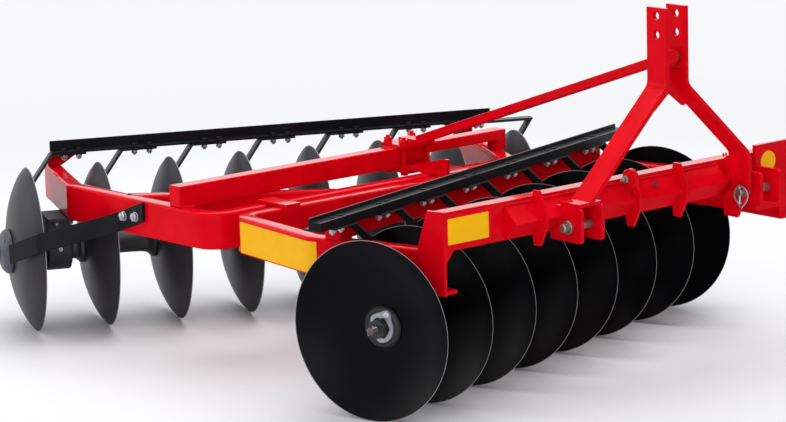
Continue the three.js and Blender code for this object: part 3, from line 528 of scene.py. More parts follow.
# %% Points to quads
def lattice(rows, columns, ring_rows=False, ring_columns=True):
    """Quads over a grid of points kept row by row: each joins (i, j), (i, j+1), (i+1, j+1) and (i+1, j)."""
    i, j = np.meshgrid(
        np.arange(rows if ring_rows else rows - 1),
        np.arange(columns if ring_columns else columns - 1),
        indexing="ij",
    )
    down, across = (i + 1) % rows, (j + 1) % columns
    quads = [i * columns + j, i * columns + across, down * columns + across, down * columns + j]
    return np.stack(quads, axis=-1).reshape(-1, 4)


def shell(points, ring_rows=False):
    """A closed shell from rows of points that go round: quads between rows and, if open, a face on each end."""
    rows, columns = points.shape[:2]
    faces = lattice(rows, columns, ring_rows).tolist()
    if not ring_rows:
        faces.append(list(range(columns))[::-1])
        faces.append(list(range((rows - 1) * columns, rows * columns)))
    return points.reshape(-1, 3), faces


def square_to(axis):
    """Two unit directions across an axis, square to it and to each other, the second as upright as can be."""
    axis = np.asarray(axis, dtype=float) / np.linalg.norm(axis)
    helper = UP if abs(axis[2]) < 0.9 else np.array([0.0, 1.0, 0.0])
    side = np.cross(helper, axis)
    side /= np.linalg.norm(side)
    return side, np.cross(axis, side)


def revolve(profile, origin, axis, steps=48, start=0.0, ring=False):
    """A profile of (distance a, radius r) about an axis: origin + a·axis + r·(cos φ·side + sin φ·rise)."""
    profile = np.asarray(profile, dtype=float)
    axis = np.asarray(axis, dtype=float) / np.linalg.norm(axis)
    side, rise = square_to(axis)
    turn = np.radians(start) + np.linspace(0.0, 2.0 * np.pi, steps, endpoint=False)
    spoke = np.cos(turn)[:, None] * side + np.sin(turn)[:, None] * rise
    points = profile[:, 0, None, None] * axis + profile[:, 1, None, None] * spoke
    return shell(np.asarray(origin) + points, ring_rows=ring)


def carried(path, section, rise=UP, swell=None):
    """A section (u across, v up) carried along a path: path(s) + swell(s)·(u·side(s) + v·lift(s))."""
    path = np.asarray(path, dtype=float)
    heading = np.gradient(path, axis=0)
    heading /= np.linalg.norm(heading, axis=1, keepdims=True)
    side = np.cross(heading, np.asarray(rise, dtype=float))
    side /= np.linalg.norm(side, axis=1, keepdims=True)
    lift = np.cross(side, heading)
    size = np.ones(len(path)) if swell is None else np.asarray(swell)
    section = np.asarray(section, dtype=float)
    points = section[None, :, 0, None] * side[:, None] + section[None, :, 1, None] * lift[:, None]
    return shell(path[:, None] + points * size[:, None, None])


def stepped(outline, origin, across, up, levels):
    """An outline stacked at levels of (height, inset): centre + (outline - centre)·(1 - inset / reach)."""
    outline = np.asarray(outline, dtype=float)
    across, up = np.asarray(across, dtype=float), np.asarray(up, dtype=float)
    out = np.cross(across, up)
    centre = outline.mean(axis=0)
    reach = np.abs(outline - centre).max(axis=0)
    rows = []
    for height, inset in levels:
        drawn = centre + (outline - centre) * (1.0 - inset / reach)
        rows.append(np.asarray(origin) + drawn[:, :1] * across + drawn[:, 1:] * up + height * out)
    return shell(np.stack(rows))


def rounded(width, height, radius, steps=5):
    """The outline of a rectangle with quarter-circle corners: corner centre + radius·(cos φ, sin φ)."""
    turn = np.linspace(0.0, np.pi / 2.0, steps)
    quarters = []
    for k, (sx, sy) in enumerate([(1, 1), (-1, 1), (-1, -1), (1, -1)]):
        phi = turn + k * np.pi / 2.0
        quarters.append(
            np.stack([sx * (width / 2 - radius) + radius * np.cos(phi),
                      sy * (height / 2 - radius) + radius * np.sin(phi)], axis=1)
        )
    return np.concatenate(quarters)


print("surface helpers ready")

# %% Points to pieces
EDGE_ANGLE = 30.0
made = []


def as_piece(name, mesh, material, body, nodes=()):
    """An object at the origin that rides on a body and stands for the given nodes."""
    piece = bpy.data.objects.new(name, mesh)
    bpy.context.collection.objects.link(piece)
    mesh.materials.clear()
    mesh.materials.append(material)
    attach(piece, body)
    if nodes:
        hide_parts(*nodes)
    made.append(piece)
    return piece


def build(name, parts, material, body, slot, nodes=(), crease=32.0, rings=None):
    """One piece from several shells in millimetres. rings = (middle, axis) also stores each point's radius."""
    points, faces, offset = [], [], 0
    for verts, quads in parts:
        points.append(verts)
        faces.extend([[index + offset for index in face] for face in quads])
        offset += len(verts)
    mesh = bpy.data.meshes.new(name)
    mesh.from_pydata(in_frame(np.concatenate(points)), [], faces)
    work = bmesh.new()
    work.from_mesh(mesh)
    bmesh.ops.remove_doubles(work, verts=work.verts, dist=1e-6)
    bmesh.ops.recalc_face_normals(work, faces=work.faces)
    work.to_mesh(mesh)
    work.free()
    mesh.shade_smooth()
    mesh.set_sharp_from_angle(angle=math.radians(crease))
    if rings is not None:
        places = np.empty(len(mesh.vertices) * 3, dtype=np.float32)
        mesh.vertices.foreach_get("co", places)
        away = places.reshape(-1, 3) - in_frame(rings[0])
        away -= (away @ rings[1])[:, None] * rings[1]
        layer = mesh.attributes.new("ring_radius", "FLOAT", "POINT")
        layer.data.foreach_set("value", np.linalg.norm(away, axis=1).astype(np.float32))
    return as_piece(name, mesh, material, body, nodes)


def rounded_edges(piece, width, segments):
    """Rounds a piece's edges by a Bevel of width millimetres; Weighted Normal then keeps its faces flat."""
    bevel = piece.modifiers.new("rounded edges", "BEVEL")
    bevel.width = width / 1000.0
    bevel.segments = segments
    bevel.limit_method = "ANGLE"
    bevel.angle_limit = math.radians(EDGE_ANGLE)
    even = piece.modifiers.new("flat faces", "WEIGHTED_NORMAL")
    even.mode = "FACE_AREA"
    even.weight = 80


def finished(node, material, width=1.6, segments=2):
    """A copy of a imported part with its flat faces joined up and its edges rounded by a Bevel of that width."""
    mesh = frame["nodes"][node].data.copy()
    mesh.name = node + "_finished"
    work = bmesh.new()
    work.from_mesh(mesh)
    bmesh.ops.remove_doubles(work, verts=work.verts, dist=2e-5)
    bmesh.ops.dissolve_limit(work, angle_limit=math.radians(0.6), verts=work.verts, edges=work.edges)
    work.to_mesh(mesh)
    work.free()
    mesh.shade_smooth()
    rounded_edges(as_piece(node + "_finished", mesh, material, "root", (node,)), width, segments)


print("piece helpers ready")

# %% [markdown]
# ## Discs
# A harrow disc is one dish of pressed steel with a flat seat, a round knuckle and a ground edge. It could be a
# Screw modifier on a drawn curve, but the bowl is an arc outside a flat seat, so a formula gives it exactly
# and one profile is revolved sixteen times. Each point keeps its distance from the axis, because the turned
# rings and the bare edge follow it.

# %% Disc profile
DISC_RADIUS, SEAT_RADIUS, DISH, PLATE = 280.0, 60.0, 70.0, 5.0
BOWL = ((DISC_RADIUS - SEAT_RADIUS) ** 2 + DISH**2) / (2.0 * DISH)


def dish_at(radius):
    """Hollow side above the rim plane: sqrt(bowl² - (r - seat)²) - (bowl - dish), flat inside the seat."""
    out = np.maximum(np.asarray(radius, dtype=float) - SEAT_RADIUS, 0.0)
    return np.sqrt(BOWL**2 - out**2) - (BOWL - DISH)


HOLE, GRIND_STARTS = 29.0, 258.0
hollow = np.concatenate([[HOLE, 45.0, 57.0], np.linspace(61.0, DISC_RADIUS - 1.0, 17)])
bulged = np.concatenate([np.linspace(GRIND_STARTS, 62.0, 15), [56.0, 45.0, HOLE]])
disc_profile = np.concatenate(
    [
        np.stack([dish_at(hollow), hollow], axis=1),
        [[0.7, 279.8], [1.4, 279.6]],
        np.stack([dish_at(bulged) + PLATE, bulged], axis=1),
    ]
)
for gang in (front, rear):
    for number in range(DISCS):
        middle = gang.at(number * SPACING, 0.0, AXLE_HEIGHT)
        dish = revolve(disc_profile, middle, gang.along * gang.bulge, steps=112, ring=True)
        packed = f"{gang.label}_disc_{number + 1}"
        build(packed + "_dished", [dish], disc_steels[gang.label], gang.body, "disc_steel", (packed,),
              crease=24.0, rings=(middle, gang.along))
print("discs:", len(made))

# %% [markdown]
# ## Gang axles
# Each gang is threaded on one square bar. Cast spools hold the discs apart; where a bearing sits, the spool
# is a plain sleeve instead. A nut with a lock plate and a cotter pin closes the hollow end, a domed casting
# the other end. Most of them are turned shapes and could come from a Screw modifier, but written profiles
# let the spools and sleeves share their length.

# %% Spools, sleeves and the square bar
SPOOL_PROFILE = np.array([
    [0.0, 20.0], [0.0, 53.0], [1.5, 57.0], [5.0, 58.0], [12.0, 57.0], [17.0, 52.5], [23.0, 45.0],
    [33.0, 40.0], [50.0, 37.6], [85.0, 36.6],
])
SPOOL_LENGTH, SLEEVE_RADIUS, SLEEVE_REACH = 243.5, 42.0, 50.0


def mirrored(profile):
    """The same profile from the spool's other end, far point first: (SPOOL_LENGTH - distance, radius)."""
    return np.asarray(profile)[::-1] * [-1.0, 1.0] + [SPOOL_LENGTH, 0.0]


def spool(start, axis):
    """A spool profile mirrored about its middle: flange, hollow flare, waist, flare, flange."""
    return revolve(np.concatenate([SPOOL_PROFILE, mirrored(SPOOL_PROFILE)]), start, axis, steps=40)


def sleeve_spool(start, axis, middle):
    """A bearing sleeve of even radius to past its middle, with a flange and a flare at each disc."""
    flare = [[0.0, 20.0], [0.0, 54.0], [2.0, 57.5], [6.0, 58.0], [14.0, 56.0], [20.0, 49.0], [26.0, 44.0]]
    even = [[34.0, SLEEVE_RADIUS], [middle + SLEEVE_REACH, SLEEVE_RADIUS]]
    return revolve(np.concatenate([flare, even, mirrored(flare)]), start, axis, steps=48)


LAST_BAY = SPACING * (DISCS - 2)
FRONT_BEARING, REAR_BEARING = 165.0, 85.0
BEARINGS = {
    "front": (FRONT_BEARING, LAST_BAY + FRONT_BEARING),
    "rear": (REAR_BEARING, LAST_BAY + REAR_BEARING),
}
FIRST_SEAT = {"front": 75.0, "rear": -70.0}
BAR_ENDS = {"front": (60.0, 1812.0), "rear": (-32.0, 1718.0)}
for gang in (front, rear):
    axle = (f"{gang.label}_gang_axle",)
    plain, sleeves = [], []
    for start in FIRST_SEAT[gang.label] + SPACING * np.arange(DISCS - 1):
        held = [t for t in BEARINGS[gang.label] if start < t < start + SPOOL_LENGTH]
        place = gang.at(start, 0.0, AXLE_HEIGHT)
        if held:
            sleeves.append(sleeve_spool(place, gang.along, held[0] - start))
        else:
            plain.append(spool(place, gang.along))
    build(f"{gang.label}_spools", plain, cast_black, gang.body, "black_paint", axle)
    build(f"{gang.label}_sleeves", sleeves, nut_steel, gang.body, "black_paint", axle)
    bar_line = np.array([gang.at(t, 0.0, AXLE_HEIGHT) for t in BAR_ENDS[gang.label]])
    build(f"{gang.label}_square_bar", [carried(bar_line, rounded(38.0, 38.0, 4.0))], nut_steel, gang.body,
          "black_paint", axle)
print("spools, sleeves and bars ready")

# %% The nut end: washer, lock plate, nut and thread
def thread(origin, axis, low, high, crest, pitch=4.0, steps=36):
    """A thread as stacked ridges: radius swings between crest and root once each pitch along the axis."""
    a = np.arange(low, high + 0.1, pitch / 4.0)
    r = crest - 1.3 * np.array([0.0, 0.5, 1.0, 0.5])[np.arange(len(a)) % 4]
    rows = np.stack([a, r], axis=1)
    rows = np.concatenate([[[low, 5.0]], rows, [[high + 1.5, crest - 3.0], [high + 1.8, 5.0]]])
    return revolve(rows, origin, axis, steps=steps)


LOCK_FIRST, LOCK_EAR, LOCK_LAST = -122.0, 62.0, 165.0


def lock_plate(origin, axis, across, thickness):
    """A C-shaped plate from LOCK_FIRST to LOCK_LAST: outer radius 46 + 17·exp(-((φ - ear) / 0.36)²)."""
    turn = np.radians(np.linspace(LOCK_FIRST, LOCK_LAST, 81))
    swell = 46.0 + 17.0 * np.exp(-(((turn - np.radians(LOCK_EAR)) / 0.36) ** 2))
    taper = np.clip(np.minimum(turn - turn[0], turn[-1] - turn) / 0.5, 0.0, 1.0) ** 0.6
    inner = 31.5 + 1.5 * np.cos(6.0 * turn)
    outer = inner + 1.5 + (swell - inner - 1.5) * taper
    spoke = np.cos(turn)[:, None] * across + np.sin(turn)[:, None] * np.cross(axis, across)
    bevelled = [(inner, 0.0), (outer - 1.2, 0.0), (outer, 1.2), (outer, thickness - 1.5),
                (outer - 1.0, thickness), (inner + 0.8, thickness), (inner, thickness - 1.0)]
    rows = [origin + r[:, None] * spoke + a * axis for r, a in bevelled]
    return shell(np.stack(rows, axis=1))


def hexagon(origin, axis, across, low, high, start=0.0):
    """A hexagonal prism whose corners are turned off at both ends: six steps, the end rings drawn in."""
    corner_radius = across / 2.0 / math.cos(math.pi / 6.0)
    rows = [[low, 4.0], [low, corner_radius * 0.93], [low + 1.6, corner_radius],
            [high - 1.6, corner_radius], [high, corner_radius * 0.93], [high, 4.0]]
    return revolve(rows, origin, axis, steps=6, start=start)


WASHER = [[0.3, 22.0], [0.3, 64.0], [2.0, 66.0], [6.0, 65.0], [12.0, 59.0], [13.5, 57.0], [13.5, 52.0],
          [11.5, 50.0], [11.5, 22.0]]
LOCK_SCREW = [[17.6, 1.0], [17.6, 12.5], [21.0, 12.5], [24.0, 9.5], [25.0, 1.0]]
COTTER_EYE = [[-17.0, 1.0], [-17.0, 3.4], [-14.5, 4.0], [-13.0, 2.2], [15.0, 2.2], [17.0, 1.0]]
NUT_FACE, NUT_TOP, NUT_ACROSS = 11.7, 43.0, 56.0
THREAD_FROM, THREAD_TO, COTTER_AT = 20.0, 72.0, 65.0
for gang, seat in ((front, 70.0), (rear, SPACING * (DISCS - 1) - 70.0)):
    label = gang.label
    on_gang = (gang.body, "black_paint", (f"{label}_gang_axle",))
    out = -gang.along * gang.bulge
    across = np.cross(UP, out)
    origin = gang.at(seat, 0.0, AXLE_HEIGHT)
    build(f"{label}_end_washer", [revolve(WASHER, origin, out, steps=72)], cast_black, *on_gang)
    plate = lock_plate(origin + NUT_FACE * out, out, across, 6.0)
    build(f"{label}_lock_plate", [plate], lock_steel, *on_gang)
    ear = np.cos(np.radians(LOCK_EAR)) * across + np.sin(np.radians(LOCK_EAR)) * UP
    screw = revolve(LOCK_SCREW, origin + 48.0 * ear, out, steps=24)
    build(f"{label}_lock_screw", [screw], zinc, *on_gang)
    nut = hexagon(origin, out, NUT_ACROSS, NUT_FACE, NUT_TOP, start=24.0)
    build(f"{label}_end_nut", [nut], nut_steel, *on_gang)
    build(f"{label}_end_thread", [thread(origin, out, THREAD_FROM, THREAD_TO, 12.0)], worn_steel, *on_gang)
    core = origin + COTTER_AT * out
    slant = 0.75 * UP + 0.66 * across
    cotter = [revolve(COTTER_EYE, core, slant, steps=14)]
    s = np.linspace(0.0, 1.0, 9)
    for way in (-1.0, 1.0):
        leg = core + np.outer(13.0 + 7.0 * s, slant) + np.outer(way * 9.0 * s**2, across)
        cotter.append(carried(leg, rounded(3.6, 3.6, 1.7, steps=3), rise=out))
    build(f"{label}_cotter_pin", cotter, zinc, *on_gang)
print("nut ends ready")

# %% The domed end
turn = np.linspace(0.0, np.pi / 2.0, 12)
dome = np.stack([10.0 + 27.0 * np.sin(turn), 76.0 - 46.0 * (1.0 - np.cos(turn)) ** 0.85], axis=1)
bell_profile = np.concatenate(
    [[[0.3, 20.0], [0.3, 74.0], [2.5, 76.0]], dome, [[38.0, 25.0], [44.0, 23.5], [45.8, 20.5], [45.8, 0.5]]]
)
for gang, seat in ((front, SPACING * (DISCS - 1) + 75.0), (rear, -75.0)):
    out = gang.along * gang.bulge
    origin = gang.at(seat, 0.0, AXLE_HEIGHT)
    side, rise = square_to(out)
    parts = [revolve(bell_profile, origin, out, steps=64)]
    for k in range(4):
        phi = np.radians(45.0 + 90.0 * k)
        spoke = np.cos(phi) * side + np.sin(phi) * rise
        rib = np.linspace(origin + 30.0 * spoke + 33.0 * out, origin + 66.0 * spoke + 22.0 * out, 6)
        parts.append(carried(rib, rounded(11.0, 12.0, 3.0, steps=3), rise=out))
    build(f"{gang.label}_end_bell", parts, cast_grey, gang.body, "black_paint", (f"{gang.label}_gang_axle",))
print("bells ready")

# %% [markdown]
# ## Frames, hitch and mast
# These parts are welded from tube and plate. The two frames are bent tubes, so a rounded section is carried
# along each plan line, round its bends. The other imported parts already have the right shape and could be
# built again the same way, but a copy is quicker: its small triangles are joined to flat faces, and a Bevel
# rounds the edges, wide on rolled tube and narrow on cut plate. Rounded edges carry the bright lines.

# %% Bent tubes of the two frames
TUBE_WIDTH, TUBE_HEIGHT, FRAME_TOP, BEND = 56.0, 120.0, 515.0, 60.0
FRAME_MIDDLE = FRAME_TOP - TUBE_HEIGHT / 2.0


def bent(corners, radius, steps=14):
    """A plan path with a round bend at each inner corner: centre + (first spoke turned by φ to the last)."""
    corners = np.asarray(corners, dtype=float)
    path = [corners[:1]]
    for before, at, after in zip(corners[:-2], corners[1:-1], corners[2:]):
        into = (before - at) / np.linalg.norm(before - at)
        away = (after - at) / np.linalg.norm(after - at)
        half = math.acos(float(np.clip(into @ away, -1.0, 1.0))) / 2.0
        middle = at + (into + away) / np.linalg.norm(into + away) * radius / math.sin(half)
        first = at + into * radius / math.tan(half) - middle
        last = at + away * radius / math.tan(half) - middle
        swing = math.atan2(first[0] * last[1] - first[1] * last[0], first @ last)
        phi = np.linspace(0.0, swing, steps)
        turned = np.stack([np.cos(phi) * first[0] - np.sin(phi) * first[1],
                           np.sin(phi) * first[0] + np.cos(phi) * first[1]], axis=1)
        path.append(middle + turned)
    path.append(corners[-1:])
    return np.concatenate(path)


def tube(corners, radius=BEND, width=TUBE_WIDTH, height=TUBE_HEIGHT, middle=FRAME_MIDDLE, round_by=9.0):
    """A rectangular tube with rounded corners carried along a bent plan path at one height."""
    plan = bent(corners, radius)
    path = np.concatenate([plan, np.full((len(plan), 1), middle)], axis=1)
    return carried(path, rounded(width, height, round_by, steps=6))


def crossing(gang, t, axis, value):
    """The plan point on a gang's cross line at t whose x (axis 0) or y (axis 1) has that value."""
    a, b = gang.at(t, 0, 0), gang.at(t, 1, 0)
    return gang.at(t, (value - a[axis]) / (b[axis] - a[axis]), 0)[:2]


FRONT_BEAM_Y = SPACING * (DISCS - 1) * front.along[1] + 312.0
REAR_BEAM_Y = FRONT_BEAM_Y + 80.0
FRONT_END, RIGHT_ARM_END, BETWEEN_ARMS = -137.5, -66.0, 600.0
REAR_ARM, REAR_ARM_END, REAR_RIGHT_X, REAR_CORNER_X = 136.0, 300.0, 56.0, 70.0
FRONT_RIGHT_BEND, FRONT_CORNER_X, FRONT_LEFT_BEND = 320.0, 120.0, -260.0
BRACE_X, BRACE_LENGTH, BRACE_END_X, BRACE_INTO = 75.0, 440.3, 560.0, 34.0


def square_front(mesh_parts):
    """Draws points that pass the arms' front ends back to them, so that each arm ends square across."""
    verts, faces = mesh_parts
    verts = verts.copy()
    ends = np.where(verts[:, 0] < BETWEEN_ARMS, RIGHT_ARM_END, FRONT_END)
    verts[:, 1] = np.maximum(verts[:, 1], ends)
    return verts, faces


left_turn = front.at(LAST_BAY + FRONT_BEARING, FRONT_LEFT_BEND, 0)[:2]
front_line = [
    crossing(front, FRONT_BEARING, 1, RIGHT_ARM_END - 9.0),
    front.at(FRONT_BEARING, FRONT_RIGHT_BEND, 0)[:2],
    [FRONT_CORNER_X, FRONT_BEAM_Y],
    crossing(front, LAST_BAY + FRONT_BEARING, 1, FRONT_BEAM_Y),
    left_turn,
    [left_turn[0], FRONT_END],
]
rear_line = [
    rear.at(REAR_ARM, REAR_ARM_END, 0)[:2],
    crossing(rear, REAR_ARM, 0, REAR_RIGHT_X),
    [REAR_CORNER_X, REAR_BEAM_Y],
    crossing(rear, LAST_BAY + REAR_ARM, 1, REAR_BEAM_Y),
    rear.at(LAST_BAY + REAR_ARM, REAR_ARM_END, 0)[:2],
]
front_nodes = ("front_frame_right_arm", "front_frame_rear_beam", "front_frame_left_arm")
rear_nodes = ("rear_frame_right_arm", "rear_frame_front_beam", "rear_frame_left_arm")
build("front_frame_tube", [square_front(tube(front_line))], red_enamel, "root", "red_paint", front_nodes)
build("rear_frame_tube", [tube(rear_line)], red_enamel, "root", "red_paint", rear_nodes)
BEAM_BACK = REAR_BEAM_Y + TUBE_WIDTH / 2.0
brace_start = np.array([BRACE_X, BEAM_BACK + BRACE_LENGTH])
brace_end = np.array([BRACE_END_X, BEAM_BACK + 0.3])
reach = (brace_end - brace_start) / np.linalg.norm(brace_end - brace_start)
brace = tube([brace_start, 0.5 * (brace_start + brace_end), brace_end + BRACE_INTO * reach], radius=1.0)
brace[0][:, 1] = np.maximum(brace[0][:, 1], BEAM_BACK + 0.1)
build("rear_frame_brace", [brace], red_enamel, "root", "red_paint", rear_nodes)
print("frames ready")

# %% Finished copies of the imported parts
for node, width in {"front_scraper_beam": 6.0, "top_bar": 5.0}.items():
    finished(node, red_enamel, width=width, segments=4)
PLATES = [
    "bar_clamp", "frame_link", "frame_side_post", "hitch_beam", "hitch_right_bracket", "mast_left_leg",
    "mast_right_leg", "stay_bar", "clevis_left_inner", "clevis_left_outer", "clevis_right_inner",
    "clevis_right_outer", "rear_scraper_left_bracket", "rear_scraper_right_bracket",
]
for node in PLATES:
    finished(node, red_enamel)
for node in ("front_scraper_rail", "rear_scraper_rail", "rear_guard_arm"):
    finished(node, black_enamel, width=1.2)
for node in ("front_left_bearing", "front_right_bearing", "rear_left_bearing", "rear_right_bearing"):
    finished(node, cast_black, width=3.0, segments=3)
finished("mast_spacer", pin_steel, width=1.0)
print("pieces so far:", len(made))

# %% [markdown]
# ## Bolts, pins and panels
# Small parts tell the size of a machine. A bolt here is a washer, a hexagon whose corners are turned off and
# the end of its thread. Linked copies of one bolt would do, but each group of like bolts is one piece, laid
# from a list of places, so it rides as one. The scraper rails get their end cap and flat
# feet here as well, because the bolts sit on them.

# %% Bolts
def bolt(place, axis, across=24.0, head=9.0, tip=7.0, washer=True):
    """One bolt end on a surface: washer, hexagon nut or head, and a short domed thread end."""
    axis = np.asarray(axis, dtype=float) / np.linalg.norm(axis)
    low = 0.2
    parts = []
    if washer:
        rim = across * 0.62
        flat = [[low, 3.0], [low, rim], [low + 2.0, rim], [low + 2.6, rim - 0.8], [low + 2.6, 3.0]]
        parts.append(revolve(flat, place, axis, steps=24))
        low += 2.7
    parts.append(hexagon(place, axis, across, low, low + head, start=11.0))
    if tip:
        stud = across * 0.31
        top = low + head
        end = [[top - 1.0, 1.0], [top - 1.0, stud], [top + tip - 1.5, stud], [top + tip, stud * 0.7],
               [top + tip, 1.0]]
        parts.append(revolve(end, place, axis, steps=20))
    return parts


def bolts(name, places, axis, material, slot, **shape):
    """A piece with one bolt at each place, all facing along axis."""
    parts = [part for place in places for part in bolt(np.asarray(place, dtype=float), axis, **shape)]
    return build(name, parts, material, "root", slot)


NUT = {"across": 20.0, "head": 9.0, "tip": 6.0}
FRONT_RAIL_BACK, FRONT_FOOT, FRONT_RAIL_MIDDLE, FRONT_RAIL_TOP = 170.0, 568.3, 589.6, 603.7
REAR_RAIL_BACK, REAR_FOOT_BACK, REAR_NUTS, REAR_FEET, REAR_HEADS = 222.0, 224.0, 555.4, 559.4, 569.2
places = [i * SPACING - before for i in range(1, DISCS) for before in (190.0, 145.0)]
under = [front.at(t, FRONT_RAIL_BACK, FRONT_FOOT) for t in places]
above = [front.at(t, FRONT_RAIL_BACK, FRONT_RAIL_TOP) for t in places]
bolts("front_scraper_nuts", under, -UP, zinc, "bare_steel", **NUT)
bolts("front_scraper_heads", above, UP, black_enamel, "black_paint", across=16.0, head=2.4, tip=0.0,
      washer=False)
cap_line = [front.at(t, FRONT_RAIL_BACK, FRONT_RAIL_MIDDLE) for t in (-29.9, -25.0)]
build("front_rail_cap", [carried(cap_line, rounded(39.0, 27.0, 3.0, steps=4))], black_enamel, "root",
      "black_paint")
REAR_LEFT_END = SPACING * (DISCS - 1) - 24.0
places = [i * SPACING + ahead for i in range(DISCS - 1) for ahead in (164.0, 217.0)]
places = [t for t in places if t < REAR_LEFT_END - 16.0] + [REAR_LEFT_END - 40.0]
under = [rear.at(t, REAR_RAIL_BACK, REAR_NUTS) for t in places]
above = [rear.at(t, REAR_RAIL_BACK, REAR_HEADS) for t in places]
bolts("rear_scraper_nuts", under, -UP, zinc, "bare_steel", **NUT)
bolts("rear_scraper_heads", above, UP, black_enamel, "black_paint", across=19.0, head=6.0, tip=0.0)
feet = []
for i in range(DISCS - 1):
    ends = (i * SPACING + 124.0, min(i * SPACING + 240.0, REAR_LEFT_END - 2.0))
    foot_line = [rear.at(t, REAR_FOOT_BACK, REAR_FEET) for t in ends]
    feet.append(carried(foot_line, rounded(38.0, 7.6, 2.0, steps=3)))
build("rear_scraper_feet", feet, black_enamel, "root", "black_paint")
print("scraper bolts ready")

# %% Bolts of the guard arm, the clamp and the mast
RIGHTWARD = np.array([-1.0, 0.0, 0.0])
FORWARD = np.array([0.0, -1.0, 0.0])
bolts("guard_arm_bolts", [[24.3, 1219.0, 461.0], [23.4, 1283.0, 455.0]], RIGHTWARD, zinc, "bare_steel",
      across=27.0, head=10.0, tip=6.0)
CLAMP_X, CLAMP_Y, CLAMP_TOP, CLAMP_BELOW = 1040.0, 1030.8, 597.7, 502.9
clamp = [(CLAMP_X + dx, CLAMP_Y + dy) for dx in (-53.0, 53.0) for dy in (-41.0, 41.0)]
bolts("clamp_nuts", [[x, y, CLAMP_TOP] for x, y in clamp], UP, red_enamel, "red_paint",
      across=25.0, head=13.0, tip=8.0)
bolts("clamp_heads", [[x, y, CLAMP_BELOW] for x, y in clamp], -UP, red_enamel, "red_paint",
      across=25.0, head=9.0, tip=0.0)
bolts("mast_base_bolts", [[1373.8, -176.0, 581.0], [1373.8, -170.0, 520.0]], RIGHTWARD, red_enamel,
      "red_paint", across=26.0, head=10.0, tip=6.0)
print("bolts so far:", len(made))

# %% [markdown]
# ## Lower hitch pins
# Each pin is turned from bar with a collar that stops it against the outer clevis plate. Its far end takes a
# linchpin, a short peg with a sprung wire ring. Pins are turned profiles. The ring could be a bevelled curve,
# but a section carried along a written loop is round above and drawn to a point below by one formula. A
# round lug with a bolt sits on the hitch's angle section, whose holes are not cut but shown as shallow dark
# discs of painted shade.

# %% Pins, linchpin and lug
PIN_Y, PIN_Z, PIN_LENGTH, PIN_FACE = -222.0, 537.0, 140.0, 110.4


def pin_profile(length, face):
    """Radius along a pin: chamfered start, shank, collar from face, shoulder ring and a stepped end."""
    return [[0.0, 1.0], [0.0, 11.5], [2.5, 14.0], [face, 14.0], [face, 20.0], [face + 1.5, 21.2],
            [face + 8.0, 21.2], [face + 9.5, 20.0], [face + 9.5, 17.0], [face + 14.0, 17.0],
            [face + 14.0, 13.6], [length - 3.0, 13.6], [length, 10.5], [length, 1.0]]


def bare(name, parts, material=pin_steel, nodes=()):
    """A piece of bare or plated steel that stays with the frame."""
    return build(name, parts, material, "root", "bare_steel", nodes)


pin = pin_profile(PIN_LENGTH, PIN_FACE)
right_pin = revolve(pin, [728.0, PIN_Y, PIN_Z], RIGHTWARD, steps=40)
left_pin = revolve(pin, [1394.0, PIN_Y, PIN_Z], -RIGHTWARD, steps=40)
stub = [[0.3, 1.0], [0.3, 19.0], [2.3, 19.0], [2.3, 13.6], [14.0, 13.6], [16.0, 11.0], [16.0, 1.0]]
left_stub = revolve(stub, [1374.0, PIN_Y, PIN_Z], RIGHTWARD, steps=40)
bare("hitch_pin_right_turned", [right_pin], nodes=("hitch_pin_right",))
bare("hitch_pin_left_turned", [left_pin, left_stub], nodes=("hitch_pin_left",))
RING_X, RING_DOWN, RING_RADIUS = 1359.5, 8.0, 29.0
phi = np.linspace(0.0, 2.0 * np.pi, 49)
pull = np.exp(-(((phi - 1.5 * np.pi) / 0.55) ** 2))
loop = np.stack([
    np.full_like(phi, RING_X),
    PIN_Y - 11.0 + RING_RADIUS * np.cos(phi) * (1.0 - 0.3 * pull),
    PIN_Z - RING_DOWN + RING_RADIUS * np.sin(phi) * (1.0 + 0.38 * pull),
], axis=1)
ring = carried(loop, rounded(5.2, 5.2, 2.55, steps=3), rise=RIGHTWARD)
peg = [[-24.0, 0.8], [-24.0, 3.0], [-22.0, 4.6], [30.0, 4.6], [32.0, 6.6], [37.0, 6.6], [39.0, 3.0]]
bare("linchpin", [ring, revolve(peg, [1365.0, PIN_Y, PIN_Z], -UP, steps=20)], zinc)
print("pins and linchpin ready")

# %% The stand's lug and the painted shade in the angle section's holes
LUG_Y, LUG_Z = -168.0, 637.0
lug = [[-6.0, 1.0], [-6.0, 28.0], [-3.0, 31.0], [10.0, 31.0], [13.0, 28.0], [13.0, 20.0], [20.0, 18.0],
       [20.0, 1.0]]
build("stand_lug", [revolve(lug, [938.5, LUG_Y, LUG_Z], RIGHTWARD, steps=40)], red_enamel, "root", "red_paint")
bolt_place = [918.4, LUG_Y, LUG_Z]
tip = [[12.8, 1.0], [12.8, 7.0], [24.0, 7.0], [25.0, 6.0], [25.0, 1.0]]
bare("stand_bolt", [hexagon(bolt_place, RIGHTWARD, 22.0, 0.1, 13.0, start=20.0),
                    revolve(tip, bolt_place, RIGHTWARD, steps=20)])
slope = np.array([0.0, -66.0, 54.0]) / math.hypot(66.0, 54.0)
# The holes are not cut: each is a shallow dark disc of painted shade.
hole_shade_disc = [[0.05, 1.0], [0.05, 9.0], [0.5, 8.6], [0.5, 1.0]]
holes = [revolve(hole_shade_disc, [x, -167.0, 602.0], slope, steps=32) for x in (784.0, 1043.0, 1176.0)]
build("angle_hole_shades", holes, nut_steel, "root", "black_paint")
print("lug and holes ready")

# %% [markdown]
# ## Bearings
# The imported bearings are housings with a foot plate. Each gets a raised seal ring on both faces, a grease
# nipple in front and four nuts under its foot, the parts a farmer looks for. They could be modelled on one
# housing and copied to the others, but both gangs know their own directions, so one loop places them all.

